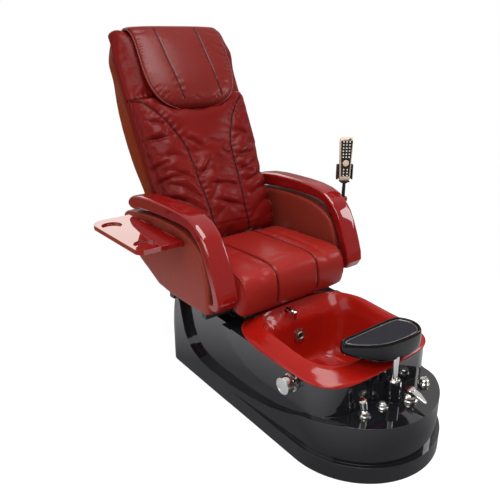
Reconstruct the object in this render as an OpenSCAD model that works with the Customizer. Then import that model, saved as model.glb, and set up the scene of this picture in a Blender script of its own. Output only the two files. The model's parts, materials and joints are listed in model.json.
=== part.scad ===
// Spa pedicure chair: moulded base with foot bath, powered massage seat, lifting arms,
// fold-up tray, swivelling footrest and a handset on a stalk.
// Origin on the floor under the middle of the base, +Z up, the foot bath towards -Y.

/* [Base] */
// Length of the base from nose to heel
base_l = 1190; // [1150:5:1230]
// Width of the base
base_w = 600; // [580:5:620]
// Height of the plinth step
plinth_h = 64; // [52:1:76]
// Height of the control deck at the nose
deck_z = 208; // [202:1:214]
// Height of the seat deck behind the bath
top_z = 338; // [334:1:342]
// Moulded wall of the base
shell_t = 6; // [5:0.5:7]
// Step from the plinth to the lower tier
tier_step = 14; // [10:1:16]

/* [Foot bath] */
// Length over the apron
tub_l = 525; // [515:5:535]
// Nose of the base to the front lip of the bath
tub_set = 165; // [160:1:168]
// Height of the bath floor
tub_floor_z = 135; // [120:1:150]
// Height of the rim crest at the front
crest_z = 350; // [346:1:353]
// Rise of the crest from front to rear
crest_rise = 52; // [46:1:58]
// Height of the apron's lower edge at the front
lip_z = 319; // [317:1:322]
// Rise of the apron's lower edge from front to rear
lip_rise = 24; // [22:1:26]
// Wall of the bath
tub_t = 5; // [4:0.5:6]

/* [Footrest] */
// Length of the footrest across the bath
foot_w = 312; // [290:2:330]
// Depth of the footrest
foot_d = 130; // [120:2:140]
// Height of the footrest's top
foot_top_z = 444; // [438:1:450]
// Thickness of the footrest
foot_h = 76; // [70:1:78]
// Nose of the base to the footrest's post
post_set = 148; // [144:1:150]
// Radius of the post
post_r = 12; // [11:0.5:13]
// Height that the footrest lifts
foot_lift = 80; // [60:5:90]

/* [Seat] */
// Width of the seat cushion
seat_w = 532; // [520:2:540]
// Depth of the seat cushion
seat_l = 432; // [415:1:434]
// Height of the cushion's underside
seat_z = 404; // [402:1:406]
// Height of the seat from its underside to its crown
seat_h = 162; // [150:2:164]
// Overlap of the cushion over the rear of the bath
seat_lap = 50; // [45:1:54]
// Backward travel of the seat
slide_travel = 120; // [80:5:130]

/* [Back] */
// Width of the back at its widest
back_w = 600; // [580:5:610]
// Length of the back from its hinge to the top of the cushion
back_l = 1000; // [980:5:1010]
// Lean of the back at rest
back_tilt = 26; // [25:0.5:27]
// Height of the back's hinge
hinge_z = 470; // [468:1:472]
// Front of the cushion to the back's hinge
hinge_set = 495; // [492:1:500]
// Depth of the back behind its hinge line
back_rear = 84; // [80:1:88]
// Depth of the cushion in front of the hinge line, at its crown
back_front = 134; // [126:1:136]

/* [Arms] */
// Half width between the arms
arm_in = 290; // [288:1:294]
// How far the arms reach in front of the cushion
arm_lead = 7; // [5:1:9]
// Width of one arm
arm_w = 90; // [80:2:96]
// Length of an arm from its front to its hinge
arm_l = 629; // [620:1:632]
// Height of an arm from its foot to its top
arm_h = 332; // [326:1:336]
// Height of the arm's foot
arm_z = 448; // [446:1:452]
// Thickest part of the arm's band
arm_t = 58; // [54:1:60]
// Radius of an arm's hinge pin
arm_pin_r = 8; // [7:0.5:9]

/* [Tray] */
// Width of the tray
tray_w = 178; // [160:2:190]
// Length of the tray
tray_l = 416; // [400:2:430]
// Thickness of the tray
tray_t = 18; // [16:1:20]
// Height of the tray's top
tray_z = 685; // [682:1:688]
// Radius of a cup recess
cup_r = 40; // [34:1:42]
// Depth of a cup recess
cup_deep = 8; // [6:0.5:10]

/* [Handset] */
// Width of the handset at its head
remote_w = 58; // [54:1:62]
// Length of the handset
remote_l = 186; // [176:2:196]
// Thickness of the handset
remote_t = 22; // [20:1:24]
// Height of the handset's lower end
remote_z = 796; // [790:1:802]
// Turn of the handset towards the front
remote_turn = -36; // [-45:1:-25]

/* [Massage unit] */
// Distance between the guide rods
rod_gap = 190; // [180:2:200]
// Radius of a guide rod
rod_r = 6; // [5:0.5:7]
// Radius of a kneading wheel
knead_r = 21; // [18:1:22]
// Upward travel of the massage carriage
knead_travel = 430; // [300:10:450]

/* [Hidden] */

$fn = 64;
cut = 1;                      // overrun of every cut
gap = 0.3;                    // soft or seated clearance
run = 0.05;                   // running clearance of a shaft in its bore
half = 1/2;
nose_y = -base_l/2 + base_w/2;   // centre of the rounded nose
heel_y = base_l/2;
heel_r = 70;                  // corner radius of the heel
heel_in = 22;                 // narrowing of each side at the heel
flank_step = 26;              // plinth to the sunk flank
side_in = 12;                 // sunk flank to the bath skirt
well_in = 38;                 // plinth to the inside of the shell
skirt_r = 118;                // front corners of the bath skirt
skirt_in = 13;                // lip of the bath to the face of the skirt
pedestal_w = 150;             // raised block that carries the footrest's collar
pedestal_l = 52;
pedestal_r = 28;
pedestal_z = 286;
tub_w = base_w;
tub_cy = -base_l/2 + tub_set + tub_l/2;
tub_end = tub_cy + tub_l/2;
post_y = -base_l/2 + post_set;
seat_y = tub_end - seat_lap;
hinge_y = seat_y + hinge_set;
arm_y = seat_y - arm_lead;
pipe_off = 55;                // rear of the bath to the pump's pipe
pipe_y = tub_end + pipe_off;

// Shares of the base's length and of the seat deck's height, chosen by eye
tier_line_shares = [[0.12, 1], [0.253, 0.86], [0.31, 0.72], [0.385, 0.59], [0.483, 0.49], [0.59, 0.44],
    [0.708, 0.42], [0.77, 0.45], [0.82, 0.53], [0.856, 0.67], [0.88, 0.9], [0.896, 1.2], [0.908, 1.5]];
skirt_line_shares = [[0.10, 0.55], [0.264, 0.638], [0.35, 0.618], [0.42, 0.622], [0.47, 0.635],
    [0.51, 0.67], [0.55, 0.74], [0.58, 0.81], [0.61, 0.89], [0.635, 0.97]];
heel_top_share = 0.935;
tier_out_share = 0.62;        // where the lower tier meets the plinth's face
skirt_end_share = 0.635;

function sum(v, i = 0) = i == len(v) - 1 ? v[i] : v[i] + sum(v, i + 1);
function mean(v) = sum(v)/len(v);
function mix(a, b, s) = a + (b - a)*s;
// One pass of corner cutting on a closed outline
function cut_corners(v) = [for (i = [0:len(v) - 1]) let (a = v[i], b = v[(i + 1) % len(v)])
    each [mix(a, b, 1/4), mix(a, b, 3/4)]];
// Super-ellipse ring in plan, whose height runs from the front to the rear
function plan_ring(n, a, b, cy, e, zf, zr) = [for (i = [0:n - 1])
    let (t = 360*(i + half)/n, x = sign(cos(t))*pow(abs(cos(t)), 2/e), y = sign(sin(t))*pow(abs(sin(t)), 2/e))
    [a*x, cy + b*y, mix(zf, zr, (y + 1)/2)]];
// Ring across a path in the Y-Z plane, with half sizes a along X and b across
function band_ring(n, x0, p, dir, a, b, e) = [for (i = [0:n - 1])
    let (t = 360*(i + half)/n, u = a*sign(cos(t))*pow(abs(cos(t)), 2/e),
        v = b*sign(sin(t))*pow(abs(sin(t)), 2/e))
    [x0 + u, p.x + v*dir.y, p.y - v*dir.x]];
function unit(v) = v/norm(v);
function path_dir(pts, i) = unit(pts[min(i + 1, len(pts) - 1)] - pts[max(i - 1, 0)]);

// Closed solid through a list of rings with the same number of points
module loft(rings) {
    n = len(rings[0]);
    m = len(rings);
    points = concat([for (r = rings, p = r) p], [mean(rings[0]), mean(rings[m - 1])]);
    sides = [for (j = [0:m - 2], i = [0:n - 1]) let (k = (i + 1) % n)
        each [[j*n + i, (j + 1)*n + i, (j + 1)*n + k], [j*n + i, (j + 1)*n + k, j*n + k]]];
    low = [for (i = [0:n - 1]) [n*m, i, (i + 1) % n]];
    high = [for (i = [0:n - 1]) [n*m + 1, (m - 1)*n + (i + 1) % n, (m - 1)*n + i]];
    polyhedron(points, concat(sides, low, high), convexity = 10);
}

// Side outline in Y and Z, drawn right across the width w
module side_slab(w, points) {
    rotate([90, 0, 90]) linear_extrude(w, center = true) polygon(points);
}

module across(r, x0, x1) {
    translate([x0, 0, 0]) rotate([0, 90, 0]) cylinder(h = x1 - x0, r = r);
}

module both_sides() {
    children();
    mirror([1, 0, 0]) children();
}

// Plan of the base, drawn in by inset
module base_plan(inset) {
    r = base_w/2 - inset;
    side_plan(r, nose_y, r - heel_in, heel_y - inset);
    translate([0, nose_y]) circle(r, $fn = 160);
}

// Straight sides between half widths a and b, with rounded corners at the heel
module side_plan(a, y0, b, y1) {
    polygon([[-a, y0], [a, y0], [b, y1 - heel_r], [-b, y1 - heel_r]]);
    translate([-(b - heel_r), y1 - 2*heel_r]) square([2*(b - heel_r), 2*heel_r]);
    for (s = [-1, 1]) translate([s*(b - heel_r), y1 - heel_r]) circle(heel_r);
}

// Plan of the lower tier, which runs out to the plinth's face behind the bath
module tier_plan() {
    r = base_w/2 - tier_step;
    mid = base_w/2 - heel_in*(along(tier_out_share) - nose_y)/(heel_y - nose_y);
    polygon([[-r, nose_y], [r, nose_y], [mid, along(tier_out_share)], [-mid, along(tier_out_share)]]);
    side_plan(mid, along(tier_out_share), base_w/2 - heel_in, heel_y);
    translate([0, nose_y]) circle(r, $fn = 160);
}

// Plan of the skirt under the bath's apron
module skirt_plan() {
    w = base_w/2 - side_in;
    front = -base_l/2 + tub_set + skirt_in;
    end = along(skirt_end_share);
    translate([-w, front + skirt_r]) square([2*w, end - front - skirt_r]);
    translate([-(w - skirt_r), front]) square([2*(w - skirt_r), 2*skirt_r]);
    for (s = [-1, 1]) translate([s*(w - skirt_r), front + skirt_r]) circle(skirt_r);
}

// Plan of the opening that the bath hangs in
module well_plan() {
    wall = well_in - side_in;
    w = base_w/2 - well_in;
    r = skirt_r - wall;
    front = -base_l/2 + tub_set + skirt_in + wall;
    end = -base_l/2 + tub_set + tub_l - 2*apron_in;
    translate([-w, front + r]) square([2*w, end - front - 2*r]);
    translate([-(w - r), front]) square([2*(w - r), end - front]);
    for (s = [-1, 1], y = [front + r, end - r]) translate([s*(w - r), y]) circle(r);
}

function along(s) = -base_l/2 + base_l*s;

module heel_slab(height, inset) {
    side_slab(base_w + 2*cut, [[along(0) - cut, -cut*sign(inset)], [along(0) - cut, height],
        [along(heel_top_share) - inset + (along(1) - along(heel_top_share))*(1 - height/top_z), height],
        [along(1) - inset, -cut*sign(inset)]]);
}

module base_shell() color("#1b1a1d") difference() {
    union() {
        linear_extrude(plinth_h) base_plan(0);
        intersection() {
            linear_extrude(top_z) tier_plan();
            side_slab(base_w, concat([[along(0), 0], [along(0), deck_z]],
                [for (s = tier_line_shares) [along(s.x), min(top_z, deck_z*s.y)]],
                [[along(heel_top_share), top_z], [along(1), 0]]));
        }
        intersection() {
            linear_extrude(top_z) base_plan(flank_step);
            union() {
                heel_slab(deck_z, 0);
                intersection() {
                    heel_slab(top_z, 0);
                    side_slab(base_w, concat([for (s = skirt_line_shares) [along(s.x), top_z*s.y + shell_t]],
                        [[along(1), top_z], [along(1), 0], [along(0), 0]]));
                }
            }
        }
        intersection() {
            linear_extrude(2*top_z) skirt_plan();
            side_slab(base_w, concat([for (s = skirt_line_shares) [along(s.x), top_z*s.y]],
                [[along(skirt_end_share), top_z], [rail_y - screw_block, top_z],
                 [tub_end, lip_top - gap],
                 [tub_cy - tub_l/2, lip_z - gap], [along(0), lip_z - gap]]));
        }
        translate([0, post_y, deck_z - shell_t]) linear_extrude(pedestal_z - deck_z + shell_t) {
            circle(pedestal_r);
            polygon([[-pedestal_w/2, pedestal_l], [-pedestal_w/2, pedestal_r], [-pedestal_r*0.8,
                pedestal_r/3],
                [pedestal_r, 0], [pedestal_r, pedestal_l]]);
        }
    }
    // hollow under the deck and behind the bath
    intersection() {
        translate([0, 0, -cut]) linear_extrude(deck_z - shell_t + cut) base_plan(flank_step + shell_t);
        translate([0, -shell_t, -cut]) heel_slab(deck_z + 2*cut, shell_t);
    }
    intersection() {
        translate([0, 0, plinth_h]) linear_extrude(top_z - shell_t - plinth_h) base_plan(well_in);
        heel_slab(top_z, shell_t);
        translate([-base_w/2, tub_cy, 0]) cube([base_w, base_l, top_z]);
    }
    // opening that the bath hangs in
    translate([0, 0, deck_z - 2*shell_t]) linear_extrude(top_z) well_plan();
    translate([0, post_y, 0]) cylinder(h = top_z, r = sleeve_r + gap);
    for (p = deck_holes) translate([p.x, p.y, deck_z - 2*shell_t]) cylinder(h = top_z, r = spigot_r + gap);
    translate([0, knob_y, knob_z]) across(stem_r + gap, -base_w/2 - cut, -base_w/4);
}

spigot_r = 9;                 // tail of each deck fitting
// Deck fittings: place across, and distance behind the nose
fitting_places = [[46, 110], [-63, 139], [162, 134], [-146, 145]];
deck_holes = [for (p = fitting_places) [p.x, along(0) + p.y]];
faucet_at = deck_holes[0];
button_at = deck_holes[1];
diverter_at = deck_holes[2];
shower_at = deck_holes[3];
knob_set = 351;               // nose of the base to the drain knob on its flank
knob_y = along(0) + knob_set;
knob_z = 288;
stem_r = 7;
sleeve_r = 17;                // guide tube of the footrest's post
frame_w = 40;                 // floor frame tube
frame_h = 30;
pad_h = 6;
pad_r = 25;
frame_in = 110;               // side of the base to the middle of a floor tube
frame_set = 180;              // nose of the base to the floor frame
frame_x = base_w/2 - frame_in;
frame_front = along(0) + frame_set;
// Uprights and rear end of the floor frame, as shares from the pump's pipe to the heel
frame_shares = [0.2247, 0.6067, 0.7191];
upright_y = [for (i = [0, 1]) round(mix(pipe_y, heel_y, frame_shares[i]))];
frame_rear = round(mix(pipe_y, heel_y, frame_shares[2]));

module base_frame() color("#4a4d50") {
    for (s = [-1, 1]) {
        translate([s*frame_x - frame_w/2, frame_front, pad_h]) cube([frame_w, frame_rear - frame_front,
            frame_h]);
        for (y = upright_y) translate([s*frame_x - frame_w/2, y - frame_w/2, pad_h + frame_h])
            cube([frame_w, frame_w, top_z - shell_t - pad_h - frame_h]);
    }
    for (y = [frame_front, -frame_w/2, upright_y[0] - frame_w/2, frame_rear - frame_w])
        translate([-frame_x + frame_w/2, y, pad_h]) cube([2*frame_x - frame_w, frame_w, frame_h]);
}

module floor_pads() color("#202124") {
    cylinder(h = pad_h, r = pad_r);
    for (s = [-1, 1], y = [frame_front + pad_r, frame_rear - pad_r])
        translate([s*frame_x, y]) cylinder(h = pad_h, r = pad_r);
}

// Bath: insets from the apron at the side, front and rear, then heights at front and rear
apron_in = 9;                 // return of the apron's lower edge
crest_side = 62;
crest_front = 72;
crest_rear = 48;
wall_in = 24;                 // draw of the wall from the crest to the shoulder
floor_in = 84;                // draw of the wall from the crest to the floor's edge
tub_n = 56;
tub_e = 4.2;
floor_share = 1.25;           // draws of the bowl's floor, shoulder and waist
shoulder_share = 2.2;
waist_share = 1.4;
rear_share = 0.55;            // the rear wall is steeper than the others
brow_share = 0.76;            // crest's outer shoulder and the apron's swell
swell_share = 0.34;
bowl_e = 3.2;
drain_r = 20;

function tub_ring(s, f, r, zf, zr, e = tub_e) =
    plan_ring(tub_n, tub_w/2 - s, (tub_l - f - r)/2, tub_cy + (f - r)/2, e, zf, zr);
function bowl_ring(draw, zf, zr, e = tub_e) =
    tub_ring(crest_side + draw, crest_front + draw, crest_rear + draw*rear_share, zf, zr, e);
function lip_ring(inset, up) = tub_ring(inset, inset, inset, lip_z + lip_rise*inset/tub_l + up,
    lip_top - lip_rise*inset/tub_l + up);
lip_top = lip_z + lip_rise;
crest_top = crest_z + crest_rise;
shoulder_z = 200;
jet_mid_z = 300;

module tub() color("#b3140f") difference() {
    loft([
        bowl_ring(floor_in*floor_share - tub_t, tub_floor_z - tub_t, tub_floor_z - tub_t, bowl_e),
        bowl_ring(floor_in - tub_t, tub_floor_z, tub_floor_z, bowl_e),
        bowl_ring(wall_in*shoulder_share - tub_t, shoulder_z - tub_t, shoulder_z - tub_t, bowl_e),
        bowl_ring(wall_in*waist_share - tub_t, jet_mid_z - 3*tub_t, jet_mid_z - tub_t, (bowl_e + tub_e)/2),
        bowl_ring(-tub_t, crest_z - 3.5*tub_t, crest_top - 3.5*tub_t),
        lip_ring(apron_in*3, 2*tub_t),
        lip_ring(apron_in*2.6, 0),
        lip_ring(tub_t/2, 0),
        lip_ring(0, tub_t/2),
        lip_ring(0, 1.5*tub_t),
        tub_ring(crest_side*swell_share, crest_front*swell_share, crest_rear*swell_share,
            mix(lip_z, crest_z, 0.55), mix(lip_top, crest_top, 0.62)),
        tub_ring(crest_side*brow_share, crest_front*brow_share, crest_rear*brow_share,
            crest_z - tub_t, crest_top - tub_t),
        tub_ring(crest_side, crest_front, crest_rear, crest_z, crest_top),
        bowl_ring(tub_t*1.6, crest_z - 2*tub_t, crest_top - 2*tub_t),
        bowl_ring(wall_in, jet_mid_z + 3*tub_t, jet_mid_z + 10*tub_t, tub_e),
        bowl_ring(wall_in*waist_share, jet_mid_z - 3*tub_t, jet_mid_z, (bowl_e + tub_e)/2),
        bowl_ring(wall_in*shoulder_share, shoulder_z, shoulder_z, bowl_e),
        bowl_ring(floor_in, tub_floor_z + 2*tub_t, tub_floor_z + 2*tub_t, bowl_e),
        bowl_ring(floor_in*floor_share, tub_floor_z, tub_floor_z, bowl_e)]);
    translate([0, drain_y, 0]) cylinder(h = tub_floor_z + tub_t, r = drain_r);
    translate([0, jet_y, jet_z]) rotate([-90 - jet_slope, 0, 0]) cylinder(h = jet_l, r = jet_pipe_r,
        center = true);
    translate([spout_x, spout_y, spout_z]) rotate([-90, 0, 0]) cylinder(h = jet_l, r = spout_r,
        center = true);
}

drain_y = tub_cy;
drain_flange = 13;            // how far the drain's flange overlaps the floor
drain_t = 3;
drain_tail = 70;              // length of the tail pipe below the floor
plug_stem_r = 3;
hub_r = 6;
hub_h = 12;

module tub_drain() color("#c9ccd0") {
    translate([0, drain_y, 0]) {
        difference() {
            union() {
                translate([0, 0, tub_floor_z]) cylinder(h = drain_t, r = drain_r + drain_flange);
                translate([0, 0, tub_floor_z - drain_tail]) cylinder(h = drain_tail + cut, r = drain_r - run);
            }
            translate([0, 0, tub_floor_z - drain_tail - cut]) cylinder(h = drain_tail + drain_t + 2*cut,
                r = drain_r - drain_t);
        }
        difference() {
            translate([0, 0, tub_floor_z - 3*hub_h]) union() {
                cylinder(h = hub_h, r = hub_r);
                for (a = [0:120:359]) rotate([0, 0, a])
                    translate([plug_stem_r + drain_t/2, -drain_t/2, 0])
                        cube([drain_r - plug_stem_r - drain_t, drain_t, hub_h]);
            }
            translate([0, 0, tub_floor_z - 4*hub_h]) cylinder(h = 3*hub_h, r = plug_stem_r + run);
        }
    }
}

module drain_plug() color("#d4d7da") translate([0, drain_y, tub_floor_z]) {
    translate([0, 0, drain_t + gap]) intersection() {
        cylinder(h = hub_h/2, r = drain_r + drain_flange/3);
        translate([0, 0, hub_h/2 - 4*drain_r]) sphere(4*drain_r, $fn = 96);
    }
    translate([0, 0, -4*hub_h]) cylinder(h = 4*hub_h + drain_t + gap + cut, r = plug_stem_r);
}

jet_r = 29;
jet_pipe_r = 17;
jet_l = 60;
jet_t = 5;
jet_z = (jet_mid_z + shoulder_z)/2;
jet_rise = wall_in*(shoulder_share - waist_share)*rear_share;
jet_slope = atan(jet_rise/(jet_mid_z - shoulder_z));
jet_y = tub_end - crest_rear - wall_in*(shoulder_share + waist_share)/2*rear_share;
eye_r = 12;
jet_end = jet_y + jet_l/2 + jet_pipe_r*sin(jet_slope) + gap;

module water_jet() color("#aeb2b6") translate([0, jet_y, jet_z]) rotate([-90 - jet_slope, 0, 0])
    difference() {
    union() {
        translate([0, 0, -jet_t - gap]) cylinder(h = jet_t, r = jet_r);
        translate([0, 0, -jet_t - gap]) cylinder(h = jet_l/2 + jet_t, r = jet_pipe_r - run);
        translate([0, 0, -jet_t - jet_t/2]) rotate_extrude() translate([eye_r + jet_t/2, 0])
            circle(jet_t/2, $fn = 24);
    }
    translate([0, 0, -2*jet_l]) cylinder(h = 3*jet_l, r = eye_r - jet_t/2);
}

spout_x = -32;
spout_z = 362;
spout_r = 9;
spout_y = tub_end - crest_rear - wall_in*rear_share/2;
spout_flange = 15;
spout_drop = 26;

module fill_spout() color("#c9ccd0") translate([spout_x, spout_y, spout_z]) {
    rotate([-90, 0, 0]) translate([0, 0, -jet_l/3]) cylinder(h = jet_l/3 + jet_l/2, r = spout_r - run);
    translate([0, -jet_l/3, 0]) sphere(spout_r - run);
    translate([0, -jet_l/3, -spout_drop]) cylinder(h = spout_drop, r = spout_r - run);
    rotate([90, 0, 0]) translate([0, 0, spout_r]) cylinder(h = drain_t, r = spout_flange);
}

nozzle_r = 6;
nozzle_in = 37;               // side of the bath's floor to the nozzles
nozzle_share = 0.608;         // pitch as a share of the floor in front of the drain
nozzle_x = tub_w/2 - crest_side - floor_in*floor_share - nozzle_in;
nozzle_pitch = (drain_y - tub_cy + tub_l/2 - crest_front - floor_in*floor_share)*nozzle_share;

module air_nozzles() color("#c9ccd0") for (s = [-1, 1], i = [-1:1])
    translate([s*nozzle_x, drain_y + i*nozzle_pitch, tub_floor_z]) cylinder(h = drain_t, r = nozzle_r);

pump_r = 60;
pump_l = 46;
motor_r = 44;
motor_l = 150;
pump_z = 110;
pipe_r = 20;

module pump() color("#34373b") translate([0, pipe_y, pump_z]) {
    rotate([-90, 0, 0]) translate([0, 0, -pump_l/2]) cylinder(h = pump_l, r = pump_r);
    rotate([-90, 0, 0]) translate([0, 0, pump_l/2 - cut]) cylinder(h = motor_l, r = motor_r);
    translate([-motor_r, upright_y[0] - frame_w/2, pad_h + frame_h - pump_z]) translate([0, -pipe_y, 0])
        cube([2*motor_r, frame_w, pump_z - pad_h - frame_h - motor_r/2]);
}

module pump_pipe() color("#d8d6cf") {
    translate([0, pipe_y, pump_z + pump_r - 2*shell_t]) difference() {
        cylinder(h = jet_z - pump_z - pump_r + 2*shell_t, r = pipe_r);
        translate([0, 2*shell_t - pump_r, -pump_r + 2*shell_t]) rotate([90, 0, 0])
            translate([0, 0, -2*pump_r]) cylinder(h = 4*pump_r, r = pump_r + gap);
    }
    translate([0, pipe_y, jet_z]) sphere(pipe_r);
    translate([0, jet_end, jet_z]) rotate([-90, 0, 0]) cylinder(h = pipe_y - jet_end, r = pipe_r);
}

box_w = 130;
box_l = upright_y[1] - upright_y[0] - 2*frame_w;
box_h = 110;

module control_box() color("#2f3237")
    translate([frame_x + frame_w/2 - box_w, (upright_y[0] + upright_y[1] - box_l)/2, pad_h + frame_h])
        cube([box_w, box_l, box_h]);

rail_x = 180;
rail_w = 26;
rail_h = 16;
rail_set = 85;                // front of the cushion to the rails
rail_y = seat_y + rail_set;
rail_l = 380;
shoe_w = 42;
shoe_l = 60;
tube_h = 30;                  // seat frame tube
tube_z = seat_z - tube_h;     // underside of the seat frame

module slide_rails() color("#8f9498") both_sides()
    translate([rail_x - rail_w/2, rail_y, top_z]) cube([rail_w, rail_l, rail_h]);

module slide_shoes() color("#2a2c2f") both_sides()
    for (y = [rail_y + shell_t, rail_y + rail_l - slide_travel - shoe_l - shell_t])
        translate([rail_x, y, top_z]) difference() {
            translate([-shoe_w/2, 0, rail_h/3]) cube([shoe_w, shoe_l, tube_z - top_z - rail_h/3]);
            translate([-rail_w/2 - gap, -cut, -cut]) cube([rail_w + 2*gap, shoe_l + 2*cut,
                rail_h + cut + gap]);
        }

screw_x = 100;
screw_r = 6;
screw_up = 14;
screw_z = top_z + screw_up;
screw_block = 24;

module slide_screw() color("#9aa0a4") {
    translate([screw_x, rail_y, screw_z]) rotate([-90, 0, 0]) cylinder(h = rail_l - screw_block, r = screw_r);
    translate([screw_x - screw_block/2, rail_y - screw_block/2, top_z]) cube([screw_block, screw_block,
        screw_block]);
    translate([screw_x - screw_block/2, rail_y + rail_l - 2*screw_block, top_z]) cube([screw_block,
        2*screw_block, screw_block + shell_t]);
}

// Fittings on the control deck
faucet_r = 26;
faucet_foot = 9;
faucet_cap = 19;              // rise of the dome over its foot
faucet_h = faucet_foot + faucet_cap;
dome_r = (faucet_r*faucet_r + faucet_cap*faucet_cap)/(2*faucet_cap);
flange_t = 4;

module deck_tail(p, r) {
    translate([p.x, p.y, deck_z - 3*shell_t]) cylinder(h = 3*shell_t + cut, r = spigot_r);
    translate([p.x, p.y, deck_z]) cylinder(h = flange_t, r = r);
}

module faucet_body() color("#d4d7da") {
    deck_tail(faucet_at, faucet_r + flange_t);
    translate([faucet_at.x, faucet_at.y, deck_z + flange_t]) {
        cylinder(h = faucet_foot, r = faucet_r);
        intersection() {
            translate([0, 0, faucet_foot + faucet_cap - dome_r]) sphere(dome_r, $fn = 96);
            cylinder(h = faucet_h, r = faucet_r);
        }
        cylinder(h = faucet_top, r = stem_r);
    }
}

spindle_out = 6;              // spindle above the dome
faucet_top = faucet_h + spindle_out;
lever_l = 70;
lever_r = 17;                 // round head of the lever
lever_tip_r = 6;
lever_t = 10;
lever_fall = 7;               // fall of the lever's tip
lever_turn = -98;             // the way that the lever points at rest

module faucet_lever() color("#dcdee0") translate([faucet_at.x, faucet_at.y,
    deck_z + flange_t + faucet_h + gap])
    rotate([0, 0, lever_turn]) difference() {
        union() {
            cylinder(h = lever_t, r = lever_r);
            hull() {
                cylinder(h = lever_t*0.8, r = lever_r*0.96, $fn = 32);
                translate([lever_l*0.5, 0, -lever_fall*0.25]) cylinder(h = lever_t*0.8, r = lever_r*0.8,
                    $fn = 32);
            }
            hull() {
                translate([lever_l*0.5, 0, -lever_fall*0.25]) cylinder(h = lever_t*0.8, r = lever_r*0.8,
                    $fn = 32);
                translate([lever_l, 0, -lever_fall]) cylinder(h = lever_t*0.5, r = lever_tip_r, $fn = 32);
            }
        }
        translate([0, 0, -lever_t]) cylinder(h = lever_t + faucet_top - faucet_h, r = stem_r + run);
    }

bezel_r = 17;
bezel_h = 9;
button_r = 10;
button_travel = 4;

module button_bezel() color("#c9ccd0") difference() {
    union() {
        deck_tail(button_at, bezel_r + flange_t);
        translate([button_at.x, button_at.y, deck_z + flange_t]) cylinder(h = bezel_h, r1 = bezel_r,
            r2 = bezel_r*0.8);
    }
    translate([button_at.x, button_at.y, deck_z + flange_t]) cylinder(h = 2*bezel_h, r = button_r + run);
    translate([button_at.x, button_at.y, deck_z - 4*shell_t]) cylinder(h = 4*bezel_h, r = stem_r/2 + run);
}

module jet_button() color("#e2e3e4") translate([button_at.x, button_at.y,
    deck_z + flange_t + button_travel + gap]) {
    intersection() {
        cylinder(h = bezel_h + flange_t/2, r = button_r);
        translate([0, 0, bezel_h + flange_t/2 - 2*button_r]) sphere(2*button_r);
    }
    translate([0, 0, -bezel_h]) cylinder(h = bezel_h + cut, r = stem_r/2);
}

diverter_r = 17;
diverter_h = 20;

module diverter_base() color("#c9ccd0") {
    deck_tail(diverter_at, diverter_r + flange_t);
    translate([diverter_at.x, diverter_at.y, deck_z + flange_t]) {
        cylinder(h = flange_t, r1 = diverter_r, r2 = diverter_r*0.8);
        cylinder(h = diverter_h - flange_t, r = stem_r);
    }
}

module diverter_knob() color("#dcdee0") translate([diverter_at.x, diverter_at.y,
    deck_z + 2*flange_t + gap]) difference() {
    union() {
        cylinder(h = diverter_h*half, r1 = diverter_r*0.9, r2 = diverter_r);
        translate([0, 0, diverter_h*half]) cylinder(h = flange_t/2, r1 = diverter_r, r2 = diverter_r*0.8);
        translate([-diverter_r*0.8, -flange_t/2, diverter_h*half]) cube([diverter_r*1.6, flange_t,
            diverter_h*0.4]);
    }
    translate([0, 0, -cut]) cylinder(h = diverter_h - 2*flange_t + cut, r = stem_r + run);
}

shower_r = 13.5;
shower_h = 64;
shower_neck_r = 10;
shower_lean = -14;            // lean of the hand shower in its socket
shower_seat = 12;

module shower_frame() translate([shower_at.x, shower_at.y, deck_z + flange_t]) rotate([0, shower_lean, 0])
    children();

module shower_socket() color("#c9ccd0") {
    deck_tail(shower_at, shower_r + 2*flange_t);
    difference() {
        shower_frame() cylinder(h = shower_seat, r1 = shower_r + flange_t, r2 = shower_r);
        shower_frame() translate([0, 0, flange_t]) cylinder(h = 2*shower_seat, r = shower_neck_r + run);
        translate([shower_at.x - 2*shower_r, shower_at.y - 2*shower_r, deck_z - 2*shower_r])
            cube([4*shower_r, 4*shower_r, 2*shower_r]);
    }
}

module hand_shower() color("#e2e3e4") shower_frame() {
    translate([0, 0, flange_t + gap]) cylinder(h = shower_seat, r = shower_neck_r);
    translate([0, 0, shower_seat + gap]) cylinder(h = shower_h*0.25, r1 = shower_neck_r, r2 = shower_r);
    translate([0, 0, shower_seat + gap + shower_h*0.25]) cylinder(h = shower_h*0.5, r = shower_r);
    translate([0, 0, shower_seat + gap + shower_h*0.75]) cylinder(h = shower_h*0.1, r1 = shower_r,
        r2 = shower_r*0.8);
}

knob_r = 30;
knob_t = 28;
knob_off = 9;                 // stem showing between the ring and the knob
ring_t = 5;
skirt_x = base_w/2 - side_in;

module drain_ring() color("#c9ccd0") translate([0, knob_y, knob_z]) difference() {
    union() {
        across(knob_r + ring_t/2, -skirt_x - ring_t, -skirt_x - gap);
        across(stem_r + gap/2, -skirt_x - ring_t, -skirt_x + side_in);
    }
    across(stem_r - 2*run, -skirt_x - 2*ring_t, -skirt_x + 2*side_in);
}

module drain_knob() color("#e2e3e4") translate([0, knob_y, knob_z]) {
    across(stem_r - 3*run, -skirt_x - knob_off - ring_t, -skirt_x + side_in);
    difference() {
        across(knob_r, -skirt_x - knob_off - ring_t - knob_t, -skirt_x - knob_off - ring_t);
        across(knob_r*0.84, -skirt_x - knob_off - ring_t - knob_t - cut,
            -skirt_x - knob_off - ring_t - knob_t + ring_t/4);
    }
}

// Footrest
collar_r = 24;
collar_t = 5;
post_hold = 50;               // post left in its tube when the footrest is up
sleeve_l = 2*foot_lift + post_hold;
post_in = 40;                 // post inside the footrest

module footrest_collar() color("#c9ccd0") translate([0, post_y, pedestal_z]) difference() {
    cylinder(h = collar_t, r1 = collar_r, r2 = collar_r*0.8);
    translate([0, 0, -cut]) cylinder(h = collar_t + 2*cut, r = post_r + 2*run);
}

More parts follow.
